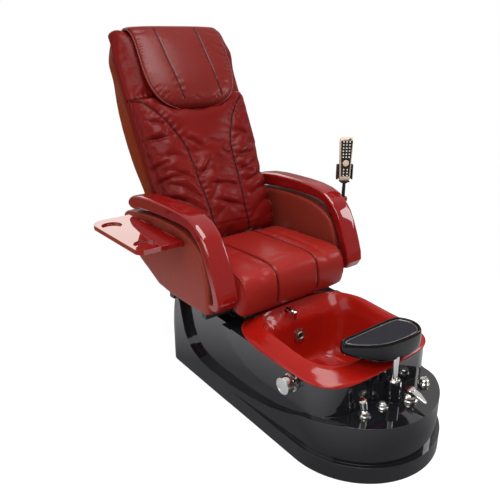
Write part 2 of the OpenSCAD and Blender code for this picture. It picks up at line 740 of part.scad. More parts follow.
module footrest_sleeve() color("#8f9498") translate([0, post_y, pedestal_z - sleeve_l]) difference() {
    cylinder(h = sleeve_l, r = sleeve_r);
    translate([0, 0, -cut]) cylinder(h = sleeve_l + 2*cut, r = post_r + run);
}

foot_z = foot_top_z - foot_h;

module footrest_post() color("#dcdee0") translate([0, post_y, pedestal_z - sleeve_l + shell_t])
    cylinder(h = foot_z + post_in - pedestal_z + sleeve_l - shell_t, r = post_r);

// Outline of the footrest as shares of its length and depth, from the post's side
foot_shares = [[-0.505, 0.97], [-0.51, 0.78], [-0.40, 0.50], [-0.20, 0.10], [0.06, 0.0], [0.28, -0.02],
    [0.42, 0.03],
    [0.52, 0.40], [0.49, 0.78], [0.40, 1.0], [0.1, 1.01], [-0.2, 1.01], [-0.43, 1.04]];
foot_side = -7;               // middle of the footrest from the post's axis
foot_back = -17;              // front edge of the footrest from the post's axis
foot_outline = cut_corners(cut_corners([for (s = foot_shares) [foot_side + foot_w*s.x,
    foot_back + foot_d*s.y]]));
foot_rim = 9;                 // width of the rim round the pad
foot_sole = 13;               // depth that the pad is let in
// Outline drawn in by d along its own normals
function inset(v, d) = [for (i = [0:len(v) - 1])
    let (t = unit(v[(i + 1) % len(v)] - v[(i + len(v) - 1) % len(v)])) v[i] + d*[-t.y, t.x]];
// Ring of the footrest, whose sole rises by up to rise towards the narrow end
function foot_ring(d, z, rise = 0) = [for (q = inset(foot_outline, d))
    [q.x, q.y, z + rise*pow(min(0, q.x)/foot_w*2, 2)]];

// Side of the footrest: shares of the rim's inset, of its height and of the sole's rise
foot_side_shares = [[1, 0, 0.4], [0.45, 0.05, 0.36], [0.1, 0.2, 0.28], [0, 0.45, 0.1], [0, 0.75, 0],
    [0.12, 0.92, 0], [0.35, 0.985, 0], [0.7, 1, 0], [1, 0.985, 0]];

module footrest_shell() color("#141317") translate([0, post_y, foot_z]) difference() {
    loft(concat([for (s = foot_side_shares) foot_ring(foot_rim*s[0], foot_h*s[1], foot_h*s[2])],
        [foot_ring(foot_rim*1.2, foot_h - foot_sole)]));
    translate([0, 0, -cut]) cylinder(h = post_in + cut + gap, r = post_r + run);
}

module footrest_pad() color("#26262b") translate([0, post_y, foot_z])
    loft([foot_ring(foot_rim*1.3, foot_h - foot_sole + gap), foot_ring(foot_rim*1.3, foot_h - foot_sole*0.55),
        foot_ring(foot_rim*1.6, foot_h - foot_sole*0.45)]);

// Seat
frame_tube_w = 40;
frame_half = 205;
cross_set = [125, 360];       // front of the cushion to the cross tubes
cross_y = [for (d = cross_set) seat_y + d];
outrigger_x = 352;
nut_l = 40;

module seat_frame() color("#3b3e42") difference() {
    union() {
        for (s = [-1, 1]) translate([s*frame_half - frame_tube_w/2, seat_y + frame_tube_w, tube_z])
            cube([frame_tube_w, cross_y[1] - seat_y - frame_tube_w, tube_h]);
        for (y = cross_y) translate([-outrigger_x, y, tube_z]) cube([2*outrigger_x, tube_h, tube_h]);
        translate([screw_x - nut_l/2, cross_y[0], screw_z - screw_r - flange_t]) cube([nut_l, tube_h,
            tube_z - screw_z + screw_r + flange_t + cut]);
        translate([-actuator_r, cross_y[0], actuator_z]) cube([2*actuator_r, tube_h,
            tube_z - actuator_z + cut]);
    }
    translate([screw_x, cross_y[0] - cut, screw_z]) rotate([-90, 0, 0]) cylinder(h = tube_h + 2*cut,
        r = screw_r + gap);
    translate([0, cross_y[0] - cut, actuator_z]) rotate([-90, 0, 0]) cylinder(h = tube_h + 2*cut,
        r = actuator_r);
}

// Side outline of the seat cushion as shares of its depth and height
seat_shares = [[0.03, 0.0], [-0.02, 0.16], [-0.02, 0.55], [0.0, 0.8], [0.05, 0.94], [0.16, 1.0], [0.40, 1.0],
    [0.70, 0.98], [0.96, 0.95], [1.0, 0.9], [1.0, 0.5], [0.99, 0.0]];
// Across the seat: share of the half width, size of the section, depth of the channel
seat_across_shares = [[-1, 0.86, 0], [-0.985, 0.92, 0], [-0.94, 0.97, 0], [-0.85, 0.99, 0], [-0.66, 1, 0],
    [-0.60, 1, 0.05], [-0.54, 1, 0], [-0.3, 1, -0.03], [0, 1, -0.045]];
seat_outline = cut_corners(cut_corners([for (i = [len(seat_shares) - 1:-1:0])
    [seat_l*seat_shares[i].x, seat_h*seat_shares[i].y]]));
seat_mid = [seat_l/2, seat_h*0.42];
function seat_ring(a) = [for (p = seat_outline) let (q = mix(seat_mid, p, a[1]))
    [a[0]*seat_w/2, seat_y + q.x, seat_z + gap + max(0, q.y - seat_h*a[2]*max(0, p.y/seat_h - half)*2)]];

module seat_cushion() color("#8a2a2a") {
    n = len(seat_across_shares);
    stations = concat(seat_across_shares,
        [for (i = [n - 2:-1:0]) [-seat_across_shares[i][0], seat_across_shares[i][1],
            seat_across_shares[i][2]]]);
    loft([for (a = stations) seat_ring(a)]);
}

// Side panel outline in Y and Z: shares of the arm's length from the front, and of its height above the
// panel's foot
panel_in = 290;
panel_w = 84;
panel_shares = [[0.135, 0.345], [0.142, 0.48], [0.170, 0.64], [0.214, 0.772], [0.311, 0.868], [0.413, 0.919],
    [0.517, 0.938], [0.647, 0.941], [0.774, 0.93], [0.90, 0.905], [1.0, 0.88], [1.13, 0.835], [1.172, 0.76],
    [1.165, 0.60], [1.116, 0.445], [0.967, 0.25], [0.831, 0.14], [0.68, 0.0], [0.170, 0.0], [0.142, 0.02],
    [0.133, 0.075]];
panel_outline = cut_corners([for (i = [len(panel_shares) - 1:-1:0])
    [arm_y + arm_l*panel_shares[i].x, seat_z + gap + arm_h*panel_shares[i].y*0.98]]);
panel_mid = mean(panel_outline);
panel_across_shares = [[0, 0.985], [0.06, 1], [0.8, 1], [0.93, 0.992], [1, 0.965]];

module side_panel() loft([for (a = panel_across_shares)
    [for (p = panel_outline) let (q = mix(panel_mid, p, a[1])) [panel_in + panel_w*a[0], q.x, q.y]]]);

module side_panel_left() color("#7d2426") side_panel();
module side_panel_right() color("#7d2426") mirror_x() side_panel();

module mirror_x() mirror([1, 0, 0]) children();

bracket_in = 279;
bracket_t = 6;
hinge_pin_r = 10;
arm_hinge_y = arm_y + arm_l;
arm_hinge_z = arm_z + arm_h*0.843;
strap = 26;                   // half width of the bracket's strap

module arm_brackets() color("#53575b") both_sides() difference() {
    translate([bracket_in + bracket_t/2, 0, 0]) side_slab(bracket_t, [
        [cross_y[1], tube_z], [cross_y[1] + 2*strap, tube_z], [hinge_y + strap, hinge_z - strap],
        [arm_hinge_y + strap, arm_hinge_z - strap], [arm_hinge_y + strap, arm_hinge_z + strap/2],
        [arm_hinge_y - strap, arm_hinge_z + strap/2], [hinge_y - strap, hinge_z + strap], [cross_y[1],
            seat_z]]);
    translate([0, hinge_y, hinge_z]) across(hinge_pin_r + run, bracket_in - cut, bracket_in + 2*bracket_t);
    translate([0, arm_hinge_y, arm_hinge_z]) across(arm_pin_r + run, bracket_in - cut,
        bracket_in + 2*bracket_t);
    translate([bracket_in - cut, cross_y[1] - cut, tube_z - cut]) cube([2*bracket_t, tube_h + cut + gap,
        2*tube_h]);
}

upright_x = 235;              // back frame upright
upright_w = 20;

module hinge_pins() color("#b9bdc1") both_sides() {
    translate([0, hinge_y, hinge_z]) across(hinge_pin_r, upright_x - upright_w/2, bracket_in + bracket_t);
    translate([0, arm_hinge_y, arm_hinge_z]) across(arm_pin_r, bracket_in, arm_in + arm_w - flange_t);
}

// Recline drive: the crank hangs from the back's torsion tube and the rod follows its pin
crank_l = 114;
crank_turn = 20;
crank_pin_r = 5;
actuator_r = 14;
actuator_up = 18;
actuator_z = top_z + actuator_up;
rod_shaft_r = 8;
pin_y = hinge_y + crank_l*sin(crank_turn);
pin_z = hinge_z - crank_l*cos(crank_turn);
eye_w = 16;
eye_l = 24;
slot_play = 2.5;
stroke = 100;

module recline_actuator() color("#2c2f33") difference() {
    translate([0, cross_y[0] - 2*tube_h, actuator_z]) rotate([-90, 0, 0])
        cylinder(h = pin_y - eye_l - stroke - cross_y[0] + 2*tube_h, r = actuator_r - run);
    translate([0, cross_y[0] - tube_h, actuator_z]) rotate([-90, 0, 0]) cylinder(h = base_l,
        r = rod_shaft_r + run);
}

module recline_rod() color("#c4c8cb") difference() {
    union() {
        translate([0, cross_y[0] + stroke, actuator_z]) rotate([-90, 0, 0])
            cylinder(h = pin_y - cross_y[0] - stroke - eye_l/2, r = rod_shaft_r);
        translate([-eye_w/2, pin_y - eye_l/2, actuator_z - rod_shaft_r - flange_t])
            cube([eye_w, eye_l, pin_z - actuator_z + 2*crank_pin_r + 4*flange_t]);
    }
    translate([-eye_w, pin_y - crank_pin_r - slot_play, actuator_z - crank_pin_r - slot_play])
        cube([2*eye_w, 2*crank_pin_r + 2*slot_play,
            pin_z - actuator_z + 2*crank_pin_r + 2*slot_play + flange_t]);
}

// Arms: shares along the arm, up the arm, and of the band's thickness
arm_shares = [[1.046, 0.822, 0.16], [1.038, 0.826, 0.56], [1.022, 0.833, 0.86], [1.0, 0.843, 1.0], [0.90,
    0.884, 1.02],
    [0.774, 0.905, 1.02], [0.647, 0.913, 0.98], [0.520, 0.917, 0.92], [0.409, 0.911, 0.86], [0.321, 0.890,
        0.80],
    [0.257, 0.849, 0.77], [0.205, 0.775, 0.74], [0.162, 0.687, 0.72], [0.126, 0.566, 0.72], [0.094, 0.430,
        0.72],
    [0.068, 0.302, 0.73], [0.049, 0.190, 0.75], [0.043, 0.110, 0.75], [0.056, 0.060, 0.68], [0.084, 0.042,
        0.54],
    [0.104, 0.052, 0.40], [0.112, 0.060, 0.16]];
arm_path = [for (s = arm_shares) [arm_y + arm_l*s.x, arm_z + arm_h*s.y]];

module arm_solid() difference() {
    loft([for (i = [0:len(arm_path) - 1]) band_ring(20, arm_in + arm_w/2, arm_path[i],
        path_dir(arm_path, i), arm_w/2, arm_t*arm_shares[i][2]/2, 5)]);
    translate([0, arm_hinge_y, arm_hinge_z]) across(arm_pin_r + run, arm_in - cut, arm_in + arm_w - flange_t);
}

module arm_left() color("#7a1114") arm_solid();
module arm_right() color("#7a1114") mirror_x() arm_solid();

// Tray on the right-hand side, folding up about a pin along Y
rail_t = 12;
hinge_off = 8;
tray_hinge_x = -(panel_in + panel_w + rail_t + hinge_off);
tray_hinge_z = tray_z - tray_t/2;
tray_set = 198;               // front of the arms to the tray
tray_y0 = arm_y + tray_set;
knuckle_r = 7;
tray_pin_r = 3;
knuckle_l = 50;
corner_r = 34;
cup_places = [[-128, 63], [-128, 330]];   // cup centres from the tray's hinge line and front edge

module tray_rail() color("#8c1216") {
    translate([-panel_in - panel_w - rail_t - gap, tray_y0 + corner_r, tray_z - 2*tray_t]) cube([rail_t,
        tray_l - 2*corner_r, tray_t]);
    translate([-panel_in - panel_w - rail_t - gap, 0, 0]) for (y = knuckle_at)
        translate([0, y, tray_hinge_z]) {
            translate([0, 0, -tray_t - gap]) cube([rail_t - flange_t, knuckle_l, tray_t]);
            difference() {
                union() {
                    translate([tray_hinge_x + panel_in + panel_w + rail_t + gap, 0, 0]) rotate([-90, 0, 0])
                        cylinder(h = knuckle_l, r = knuckle_r);
                    translate([tray_hinge_x + panel_in + panel_w + rail_t + gap, 0, -knuckle_r])
                        cube([rail_t, knuckle_l, knuckle_r]);
                }
                translate([tray_hinge_x + panel_in + panel_w + rail_t + gap, -cut, 0]) rotate([-90, 0, 0])
                    cylinder(h = knuckle_l + 2*cut, r = tray_pin_r + run);
            }
        }
}
knuckle_at = [tray_y0 + 0.2*tray_l, tray_y0 + 0.8*tray_l - knuckle_l];

module tray_bracket() color("#232226") for (y = [tray_y0 + tray_l*0.42])
    translate([0, y, 0]) rotate([90, 0, 0]) linear_extrude(knuckle_l, center = true) polygon([
        [-panel_in - panel_w - gap, tray_z - tray_t - gap - corner_r*1.6], [-panel_in - panel_w - gap,
            tray_z - 2*tray_t - gap],
        [tray_hinge_x + knuckle_r - rail_t, tray_z - 2*tray_t - gap], [tray_hinge_x - corner_r*0.4,
            tray_z - tray_t - gap],
        [tray_hinge_x - corner_r*2.4, tray_z - tray_t - gap], [tray_hinge_x - corner_r*2.4,
            tray_z - tray_t - gap - flange_t]]);

module tray_plan() {
    x0 = tray_hinge_x - knuckle_r - 2*gap - tray_w;
    x1 = tray_hinge_x - knuckle_r - 2*gap;
    far_r = 1.7*corner_r;
    translate([x0 + corner_r, tray_y0]) square([tray_w - corner_r, tray_l - far_r]);
    translate([x0, tray_y0 + corner_r]) square([tray_w, tray_l - corner_r - far_r]);
    translate([x0 + far_r, tray_y0]) square([tray_w - far_r, tray_l]);
    translate([x0 + corner_r, tray_y0 + corner_r]) circle(corner_r);
    translate([x0 + far_r, tray_y0 + tray_l - far_r]) circle(far_r);
}

module tray() color("#8c1216") difference() {
    union() {
        difference() {
            translate([0, 0, tray_z - tray_t]) linear_extrude(tray_t) tray_plan();
            for (c = cup_places) translate([tray_hinge_x + c.x, tray_y0 + c.y, tray_z - cup_deep])
                cylinder(h = 2*cup_deep, r = cup_r);
        }
        for (y = knuckle_at, e = [-1, 1])
            translate([tray_hinge_x, y + (e > 0 ? knuckle_l + gap : -knuckle_l/2 - gap), tray_hinge_z]) {
                rotate([-90, 0, 0]) cylinder(h = knuckle_l/2, r = knuckle_r);
                translate([-knuckle_r - cut, 0, -knuckle_r]) cube([knuckle_r + cut, knuckle_l/2,
                    2*knuckle_r]);
            }
        for (y = knuckle_at) translate([tray_hinge_x, y - knuckle_l/2, tray_hinge_z]) rotate([-90, 0, 0])
            cylinder(h = 2*knuckle_l, r = tray_pin_r);
    }
}

// Handset and its stalk on the left-hand arm
stalk_set = 157;              // front of the arms to the stalk
stalk_off = 22;
stalk_y = arm_y + stalk_set;
stalk_x = arm_in + arm_w + stalk_off;
stalk_r = 7;
stalk_z0 = arm_z + arm_h*0.83;
clip_t = 14;
clip_l = 46;

module remote_bracket() color("#9c1a1d") translate([arm_in + arm_w + gap, stalk_y - clip_l/2,
    stalk_z0 - clip_t]) difference() {
    union() {
        cube([stalk_x - arm_in - arm_w, clip_l, clip_t]);
        translate([stalk_x - arm_in - arm_w - gap, clip_l/2, 0]) cylinder(h = clip_t, r = clip_l/3);
    }
    translate([stalk_x - arm_in - arm_w - gap, clip_l/2, flange_t]) cylinder(h = clip_t, r = stalk_r + run);
}

module at_stalk() translate([stalk_x, stalk_y, remote_z]) rotate([0, 0, remote_turn]) children();

cradle_t = 5;
cradle_h = 92;

module remote_post() color("#17171a") translate([stalk_x, stalk_y, stalk_z0 - clip_t + flange_t])
    cylinder(h = remote_z - stalk_z0 + clip_t - flange_t - cradle_t - 2*gap, r = stalk_r);

module remote_cradle() color("#1d1d20") at_stalk() {
    translate([0, 0, -2*cradle_t]) difference() {
        cylinder(h = 2*cradle_t - 2*gap, r = 2*stalk_r);
        translate([0, 0, -cut]) cylinder(h = cradle_t + cut - gap, r = stalk_r + run);
    }
    translate([-remote_w*0.36, -remote_t/2 - cradle_t, -cradle_t]) cube([remote_w*0.72,
        remote_t + 2*cradle_t, cradle_t - gap]);
    translate([-remote_w*0.30, remote_t/2 + gap, -cradle_t]) cube([remote_w*0.60, cradle_t, cradle_h]);
    for (s = [-1, 1]) translate([s*(remote_w*0.47 + cradle_t) - cradle_t/2, -remote_t*0.2, cradle_t])
        cube([cradle_t, remote_t*0.7 + cradle_t, cradle_h*0.7]);
    translate([-remote_w*0.47 - 1.5*cradle_t, remote_t/2 + gap, cradle_t])
        cube([remote_w*0.94 + 3*cradle_t, cradle_t, cradle_h*0.7]);
}

// Handset: share of the length, width and thickness of each section
remote_shares = [[0, 0.66, 0.5], [0.02, 0.76, 0.8], [0.08, 0.82, 1], [0.5, 0.90, 0.95], [0.9, 0.99, 0.9],
    [0.985, 0.96, 0.8], [1, 0.86, 0.5]];

module remote() color("#c9c1ae") at_stalk() difference() {
    loft([for (s = remote_shares) plan_ring(28, remote_w*s[1]/2, remote_t*s[2]/2, 0, 5, remote_l*s[0],
        remote_l*s[0])]);
    for (k = key_cells) translate([k.x, -remote_t, k.y]) rotate([-90, 0, 0]) cylinder(h = remote_t*1.25,
        r = key_r + run);
    translate([0, -remote_t, dial_z]) rotate([-90, 0, 0]) cylinder(h = remote_t*1.25, r = stem_r/2 + run);
}

key_r = 3;
key_pitch = 13;
key_travel = 1;
dial_r = 14;
dial_z = remote_l*0.42;
key_cells = concat([for (i = [-1:1], j = [0:5]) [i*key_pitch, remote_l*0.56 + j*key_pitch]],
    [for (i = [-1, 1], j = [0:2]) [i*key_pitch*0.6, remote_l*0.13 + j*key_pitch]]);

module remote_keys() color("#e8e6df") at_stalk() for (k = key_cells)
    translate([k.x, -remote_t/2 - key_travel - key_r*0.4, k.y]) rotate([-90, 0, 0])
        cylinder(h = remote_t*0.3, r = key_r);

module remote_dial() color("#d9d5c8") at_stalk() translate([0, 0, dial_z]) {
    rotate([-90, 0, 0]) translate([0, 0, -remote_t/2 - cradle_t])
        cylinder(h = cradle_t - key_travel - 2*gap, r1 = dial_r*0.9, r2 = dial_r);
    rotate([-90, 0, 0]) translate([0, 0, -remote_t/2 - cradle_t]) cylinder(h = remote_t*0.5, r = stem_r/2);
}

// Lead clipped down the stalk, from under the cradle to the arm's clip
lead_r = 2.2;
lead_route = [[-11, -4, -10.3], [-13, -5, -22], [-15, -5, -36], [-14, -4, -50], [-11, -2, -62], [-11, -2,
    -72]];
lead_n = 8;

module remote_lead() color("#151517") translate([stalk_x, stalk_y, remote_z])
    loft([for (i = [0:len(lead_route) - 1]) [for (k = [0:lead_n - 1])
        lead_route[len(lead_route) - 1 - i] + lead_r*[cos(360*k/lead_n), sin(360*k/lead_n), 0]]]);

// Back, drawn upright about its hinge and leaned as a whole
module on_back() translate([0, hinge_y, hinge_z]) rotate([-back_tilt, 0, 0]) children();

back_low = 40;                // cushion and shell start above the hinge
layer_y = -22;                // face between the cushion and the frame space
tube_r = 15;
bar_t = 14;
upright_d = 38;
rod_y = 8;
rod_z0 = 112;
rod_short = 100;              // upper end of the guide rods to the top of the cushion
rod_z1 = back_l - rod_short;

module back_frame() color("#3b3e42") {
    frame_bars();
    on_back() rotate([back_tilt + crank_turn, 0, 0]) translate([0, 0, -crank_l])
        across(crank_pin_r, -eye_w/2 - gap - cut, eye_w/2 + gap + cut);
}

module frame_bars() on_back() difference() {
    union() {
        for (s = [-1, 1]) translate([s*upright_x - upright_w/2, layer_y + gap, 0])
            cube([upright_w, upright_d, rod_z1 + tube_r + bar_t]);
        for (s = [-1, 1]) translate([s*upright_x, 0, 0]) across(tube_r, -upright_w/2, upright_w/2);
        across(tube_r, -upright_x, upright_x);
        for (z = [rod_z0 - bar_t, rod_z1]) translate([-upright_x, layer_y + gap, z]) cube([2*upright_x,
            upright_d, bar_t]);
        for (s = [-1, 1]) rotate([back_tilt + crank_turn, 0, 0])
            translate([s*(eye_w/2 + gap + flange_t/2) - flange_t/2, -tube_r, -crank_l - tube_r/2])
                cube([flange_t, 2*tube_r, crank_l]);
    }
    across(hinge_pin_r + run, -bracket_in, -upright_x + upright_w/2 + gap);
    across(hinge_pin_r + run, upright_x - upright_w/2 - gap, bracket_in);
    for (s = [-1, 1]) translate([s*rod_gap/2, rod_y, rod_z0 - 2*bar_t])
        cylinder(h = rod_z1 - rod_z0 + 4*bar_t, r = rod_r);
}

// Up the back: height share, width share, rear share
shell_shares = [[0, 0.905, 1], [0.28, 0.912, 1.02], [0.36, 0.945, 1.02], [0.44, 0.985, 1.01], [0.62, 1, 0.99],
    [0.74, 0.98, 0.92], [0.80, 0.96, 0.80], [0.85, 0.965, 0.70], [0.89, 0.985, 0.63], [0.925, 0.965, 0.55],
    [0.95, 0.94, 0.47], [0.98, 0.91, 0.36], [1, 0.87, 0.26]];
shell_wall = 8;
shell_corner = 30;
function shell_ring(s, in, top_in, front) = let (w = back_w/2*s[1] - in, r = max(back_rear*s[2] - in,
    2*in + cut),
    c = min(shell_corner, r - layer_y - in)) [for (p = concat([[-w, front], [w, front]],
        [for (a = [0:15:90]) [w - c + c*cos(a), r - c + c*sin(a)]],
        [for (a = [90:15:180]) [-w + c + c*cos(a), r - c + c*sin(a)]]))
    [p.x, p.y, mix(back_low, back_l - top_in, s[0])]];

module back_shell() color("#6d1c1e") on_back() difference() {
    loft([for (s = shell_shares) shell_ring(s, 0, 0, layer_y + gap)]);
    loft([for (s = concat([[-0.02, shell_shares[0][1], shell_shares[0][2]]], shell_shares)) shell_ring(s,
        shell_wall, 2*shell_wall, layer_y - back_rear)]);
}

// Cushion across: share of half width, share of the front's depth; and up: height, width, edge depth,
// crown depth
cushion_across_shares = [[-1, 0], [-0.99, 0.45], [-0.95, 0.8], [-0.86, 0.94], [-0.72, 1], [-0.56, 1],
    [-0.46, 0.96],
    [-0.42, 0.86], [-0.38, 0.95], [-0.2, 0.97], [0, 0.98], [0.2, 0.97], [0.38, 0.95], [0.42, 0.86], [0.46,
        0.96],
    [0.56, 1], [0.72, 1], [0.86, 0.94], [0.95, 0.8], [0.99, 0.45], [1, 0]];
cushion_up_shares = [[0, 0.86, 0.6], [0.02, 0.89, 0.84], [0.06, 0.905, 0.95], [0.16, 0.91, 1], [0.28,
    0.915, 0.98],
    [0.36, 0.945, 0.93], [0.44, 0.98, 0.89], [0.52, 0.99, 0.87], [0.575, 0.99, 0.80], [0.61, 0.99, 0.668],
    [0.70, 0.99, 0.66], [0.80, 0.985, 0.65], [0.90, 0.985, 0.64], [0.965, 0.98, 0.62], [0.99, 0.965, 0.55],
    [1, 0.93, 0.42]];

module back_cushion() color("#84262a") on_back() loft([for (u = cushion_up_shares)
    [for (a = cushion_across_shares) [a[0]*(back_w/2*u[1] - gap), mix(layer_y, -back_front*u[2], a[1]),
        mix(back_low, back_l, u[0])]]]);

// Headrest flap: inner line (depth share, height share), thickness share and width share, from its lower
// edge over the top
flap_t = 62;
flap_w = 256;                 // half width over the top
flap_front = -back_front*0.668;
flap_shares = [[1, 0.628, 0.14, 0.20], [1, 0.633, 0.50, 0.38], [1, 0.645, 0.78, 0.54], [1, 0.664, 0.94, 0.67],
    [1, 0.692, 1, 0.77], [1, 0.735, 1, 0.845], [1, 0.79, 0.94, 0.885], [1, 0.86, 0.76, 0.90], [1, 0.925,
        0.58, 0.915],
    [0.96, 0.962, 0.48, 0.925], [0.86, 0.990, 0.43, 0.935], [0.50, 1.006, 0.40, 0.94], [0.1, 1.010, 0.38,
        0.94],
    [-0.3, 1.006, 0.36, 0.93], [-0.56, 0.985, 0.34, 0.92], [-0.66, 0.95, 0.32, 0.91], [-0.70, 0.91, 0.26,
        0.89],
    [-0.71, 0.90, 0.10, 0.87]];
flap_line = [for (s = flap_shares) [s[0]*(flap_front - gap), s[1]*back_l + gap]];

module headrest_flap() color("#93383a") on_back() loft([for (i = [0:len(flap_line) - 1])
    let (d = path_dir(flap_line, i), t = flap_t*flap_shares[i][2], p = flap_line[i] + [-d.y, d.x]*t/2)
    band_ring(24, 0, p, d, flap_w*flap_shares[i][3], t/2, 3.2)]);

// Massage unit
carriage_z = 250;
carriage_h = 96;
block_w = 26;
plate_t = 10;
knead_x = 46;
knead_w = 18;
knead_off = 3;                // throw of the kneading wheels
plate_y = rod_y + knead_r;
assert(carriage_z + carriage_h/2 + knead_travel < rod_z1, "the carriage runs off its guide rods");

module massage_rods() color("#b9bdc1") on_back() for (s = [-1, 1])
    translate([s*rod_gap/2, rod_y, rod_z0 - bar_t]) cylinder(h = rod_z1 - rod_z0 + 2*bar_t,
        r = rod_r - run/5);

module massage_carriage() color("#2f3237") on_back() difference() {
    union() {
        translate([-rod_gap/2 - block_w/2, plate_y, carriage_z - carriage_h/2]) cube([rod_gap + block_w,
            plate_t, carriage_h]);
        for (s = [-1, 1]) {
            translate([s*rod_gap/2 - block_w/2, rod_y - rod_r - flange_t, carriage_z - carriage_h/2])
                cube([block_w, plate_y - rod_y + rod_r + flange_t + cut, carriage_h]);
            translate([s*(knead_x + knead_w) - flange_t, rod_y - rod_r - flange_t, carriage_z - tube_r])
                cube([2*flange_t, plate_y - rod_y + rod_r + flange_t + cut, 2*tube_r]);
        }
    }
    for (s = [-1, 1]) translate([s*rod_gap/2, rod_y, carriage_z - carriage_h]) cylinder(h = 2*carriage_h,
        r = rod_r + run);
    translate([0, knead_y, carriage_z]) across(crank_pin_r + run, -rod_gap, rod_gap);
}

knead_y = rod_y - knead_off;

module kneading_wheels() color("#c4b9a4") on_back() translate([0, knead_y, carriage_z]) {
    across(crank_pin_r, -rod_gap/2 + block_w/2 + gap, rod_gap/2 - block_w/2 - gap);
    for (s = [-1, 1]) translate([s*knead_x, 0, knead_off/3]) across(knead_r - knead_off/2, -knead_w/2,
        knead_w/2);
}

base_shell();
base_frame();
floor_pads();
tub();
tub_drain();
water_jet();
fill_spout();
air_nozzles();
pump();
pump_pipe();
control_box();
slide_rails();
slide_screw();
faucet_body();
button_bezel();
diverter_base();
shower_socket();
footrest_collar();
footrest_sleeve();
drain_ring();
drain_knob();
drain_plug();
faucet_lever();
jet_button();
diverter_knob();
hand_shower();
footrest_post();
footrest_shell();
footrest_pad();
seat_frame();
slide_shoes();
seat_cushion();
side_panel_left();
side_panel_right();
arm_brackets();
hinge_pins();
recline_actuator();
recline_rod();
tray_rail();
tray_bracket();
tray();
arm_left();
arm_right();
remote_bracket();
remote_post();
remote_cradle();
remote_lead();
remote();
remote_keys();
remote_dial();
back_frame();
back_shell();
back_cushion();
headrest_flap();
massage_rods();
massage_carriage();
kneading_wheels();
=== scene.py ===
# %% [markdown]
# # A spa pedicure chair
#
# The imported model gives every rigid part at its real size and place. This notebook dresses it: first
# the camera and the light, then the finishes, then the moulded shells, the leather and the small trim.
# All lengths are metres, +Z is up and the foot bath points towards -Y.

# %% Load the frame
import json
import math

import bpy
import numpy as np
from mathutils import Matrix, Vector

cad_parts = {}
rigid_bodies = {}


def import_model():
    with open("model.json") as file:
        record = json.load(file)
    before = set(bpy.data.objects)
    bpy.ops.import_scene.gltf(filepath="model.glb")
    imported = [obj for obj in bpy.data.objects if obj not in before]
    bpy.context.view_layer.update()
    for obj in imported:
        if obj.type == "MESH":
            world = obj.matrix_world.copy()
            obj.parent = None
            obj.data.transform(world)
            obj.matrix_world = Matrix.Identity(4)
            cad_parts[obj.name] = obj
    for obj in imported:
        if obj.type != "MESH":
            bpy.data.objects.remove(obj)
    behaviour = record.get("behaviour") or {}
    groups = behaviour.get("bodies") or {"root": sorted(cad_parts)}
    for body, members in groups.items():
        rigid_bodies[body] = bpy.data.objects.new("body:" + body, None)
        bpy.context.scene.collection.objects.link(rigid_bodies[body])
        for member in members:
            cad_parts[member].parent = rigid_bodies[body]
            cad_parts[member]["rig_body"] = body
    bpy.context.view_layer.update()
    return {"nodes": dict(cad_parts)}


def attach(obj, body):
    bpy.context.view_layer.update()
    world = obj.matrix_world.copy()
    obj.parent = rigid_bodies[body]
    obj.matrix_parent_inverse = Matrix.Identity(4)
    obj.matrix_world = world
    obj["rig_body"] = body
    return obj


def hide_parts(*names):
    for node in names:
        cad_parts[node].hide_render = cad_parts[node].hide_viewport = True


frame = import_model()
scene = bpy.context.scene
parts = frame["nodes"]
MM = 0.001

# %% [markdown]
# ## Camera
#
# The photograph was taken from the front, off the tray side, a little above the arms. The camera stands
# at that place and looks along the same line, so the picture can be compared point by point.

# %% Camera
CAMERA_PLACE = Vector((-1.428, -1.457, 1.400))
CAMERA_TURN = math.radians(38.38)
CAMERA_DROP = math.radians(20.68)
LENS = 41.26

camera_data = bpy.data.cameras.new("photo_camera")
camera_data.lens = LENS
camera = bpy.data.objects.new("photo_camera", camera_data)
scene.collection.objects.link(camera)
camera.location = CAMERA_PLACE
camera.rotation_euler = (math.pi/2 - CAMERA_DROP, 0, -CAMERA_TURN)
scene.camera = camera
print("camera looks", round(math.degrees(CAMERA_DROP), 1), "degrees down")

# %% [markdown]
# ## Lamps
#
# A studio shot of a glossy product lives from large soft sources: their reflections draw the shape.
# The key stands over the viewer's left shoulder, one hangs above, two fill the sides, and one stands low
# behind the chair, where the tray mirrors it.

# %% Lamps
WARM_WHITE = (1.0, 0.90, 0.82)


def area_lamp(name, place, aim, size, power, colour=(1, 1, 1)):
    """Rectangular lamp: its place, aim and size are metres and its power is watts."""
    data = bpy.data.lights.new(name, "AREA")
    data.shape = "RECTANGLE"
    data.size, data.size_y = size
    data.energy = power
    data.color = colour
    lamp = bpy.data.objects.new(name, data)
    scene.collection.objects.link(lamp)
    lamp.location = place
    lamp.rotation_euler = (Vector(aim) - Vector(place)).to_track_quat("-Z", "Y").to_euler()


area_lamp("key_softbox", (-1.6, -1.8, 3.0), (0, 0.1, 0.6), (1.8, 1.4), 44)
area_lamp("top_softbox", (0.1, -0.3, 3.2), (0, 0.1, 0.5), (1.6, 1.6), 62)
area_lamp("left_softbox", (-2.8, 0.4, 1.2), (0, 0.2, 0.5), (2.6, 2.2), 22)
area_lamp("fill_softbox", (2.6, -1.2, 1.8), (0, 0, 0.6), (0.9, 1.1), 22)
area_lamp("rear_softbox", (0.85, 2.55, 1.75), (0, 0.2, 0.7), (2.0, 1.1), 11, WARM_WHITE)

# %% [markdown]
# ## Node helpers
#
# A node is added together with its settings, by name or by a socket's number. A setting is a value, or
# another node's output, which is then linked to the socket.

# %% Node helpers
MIX_SHARE, MIX_LOW, MIX_HIGH = 0, 6, 7  # inputs of a Mix node that is set to colour
MIX_RESULT = 2  # its output


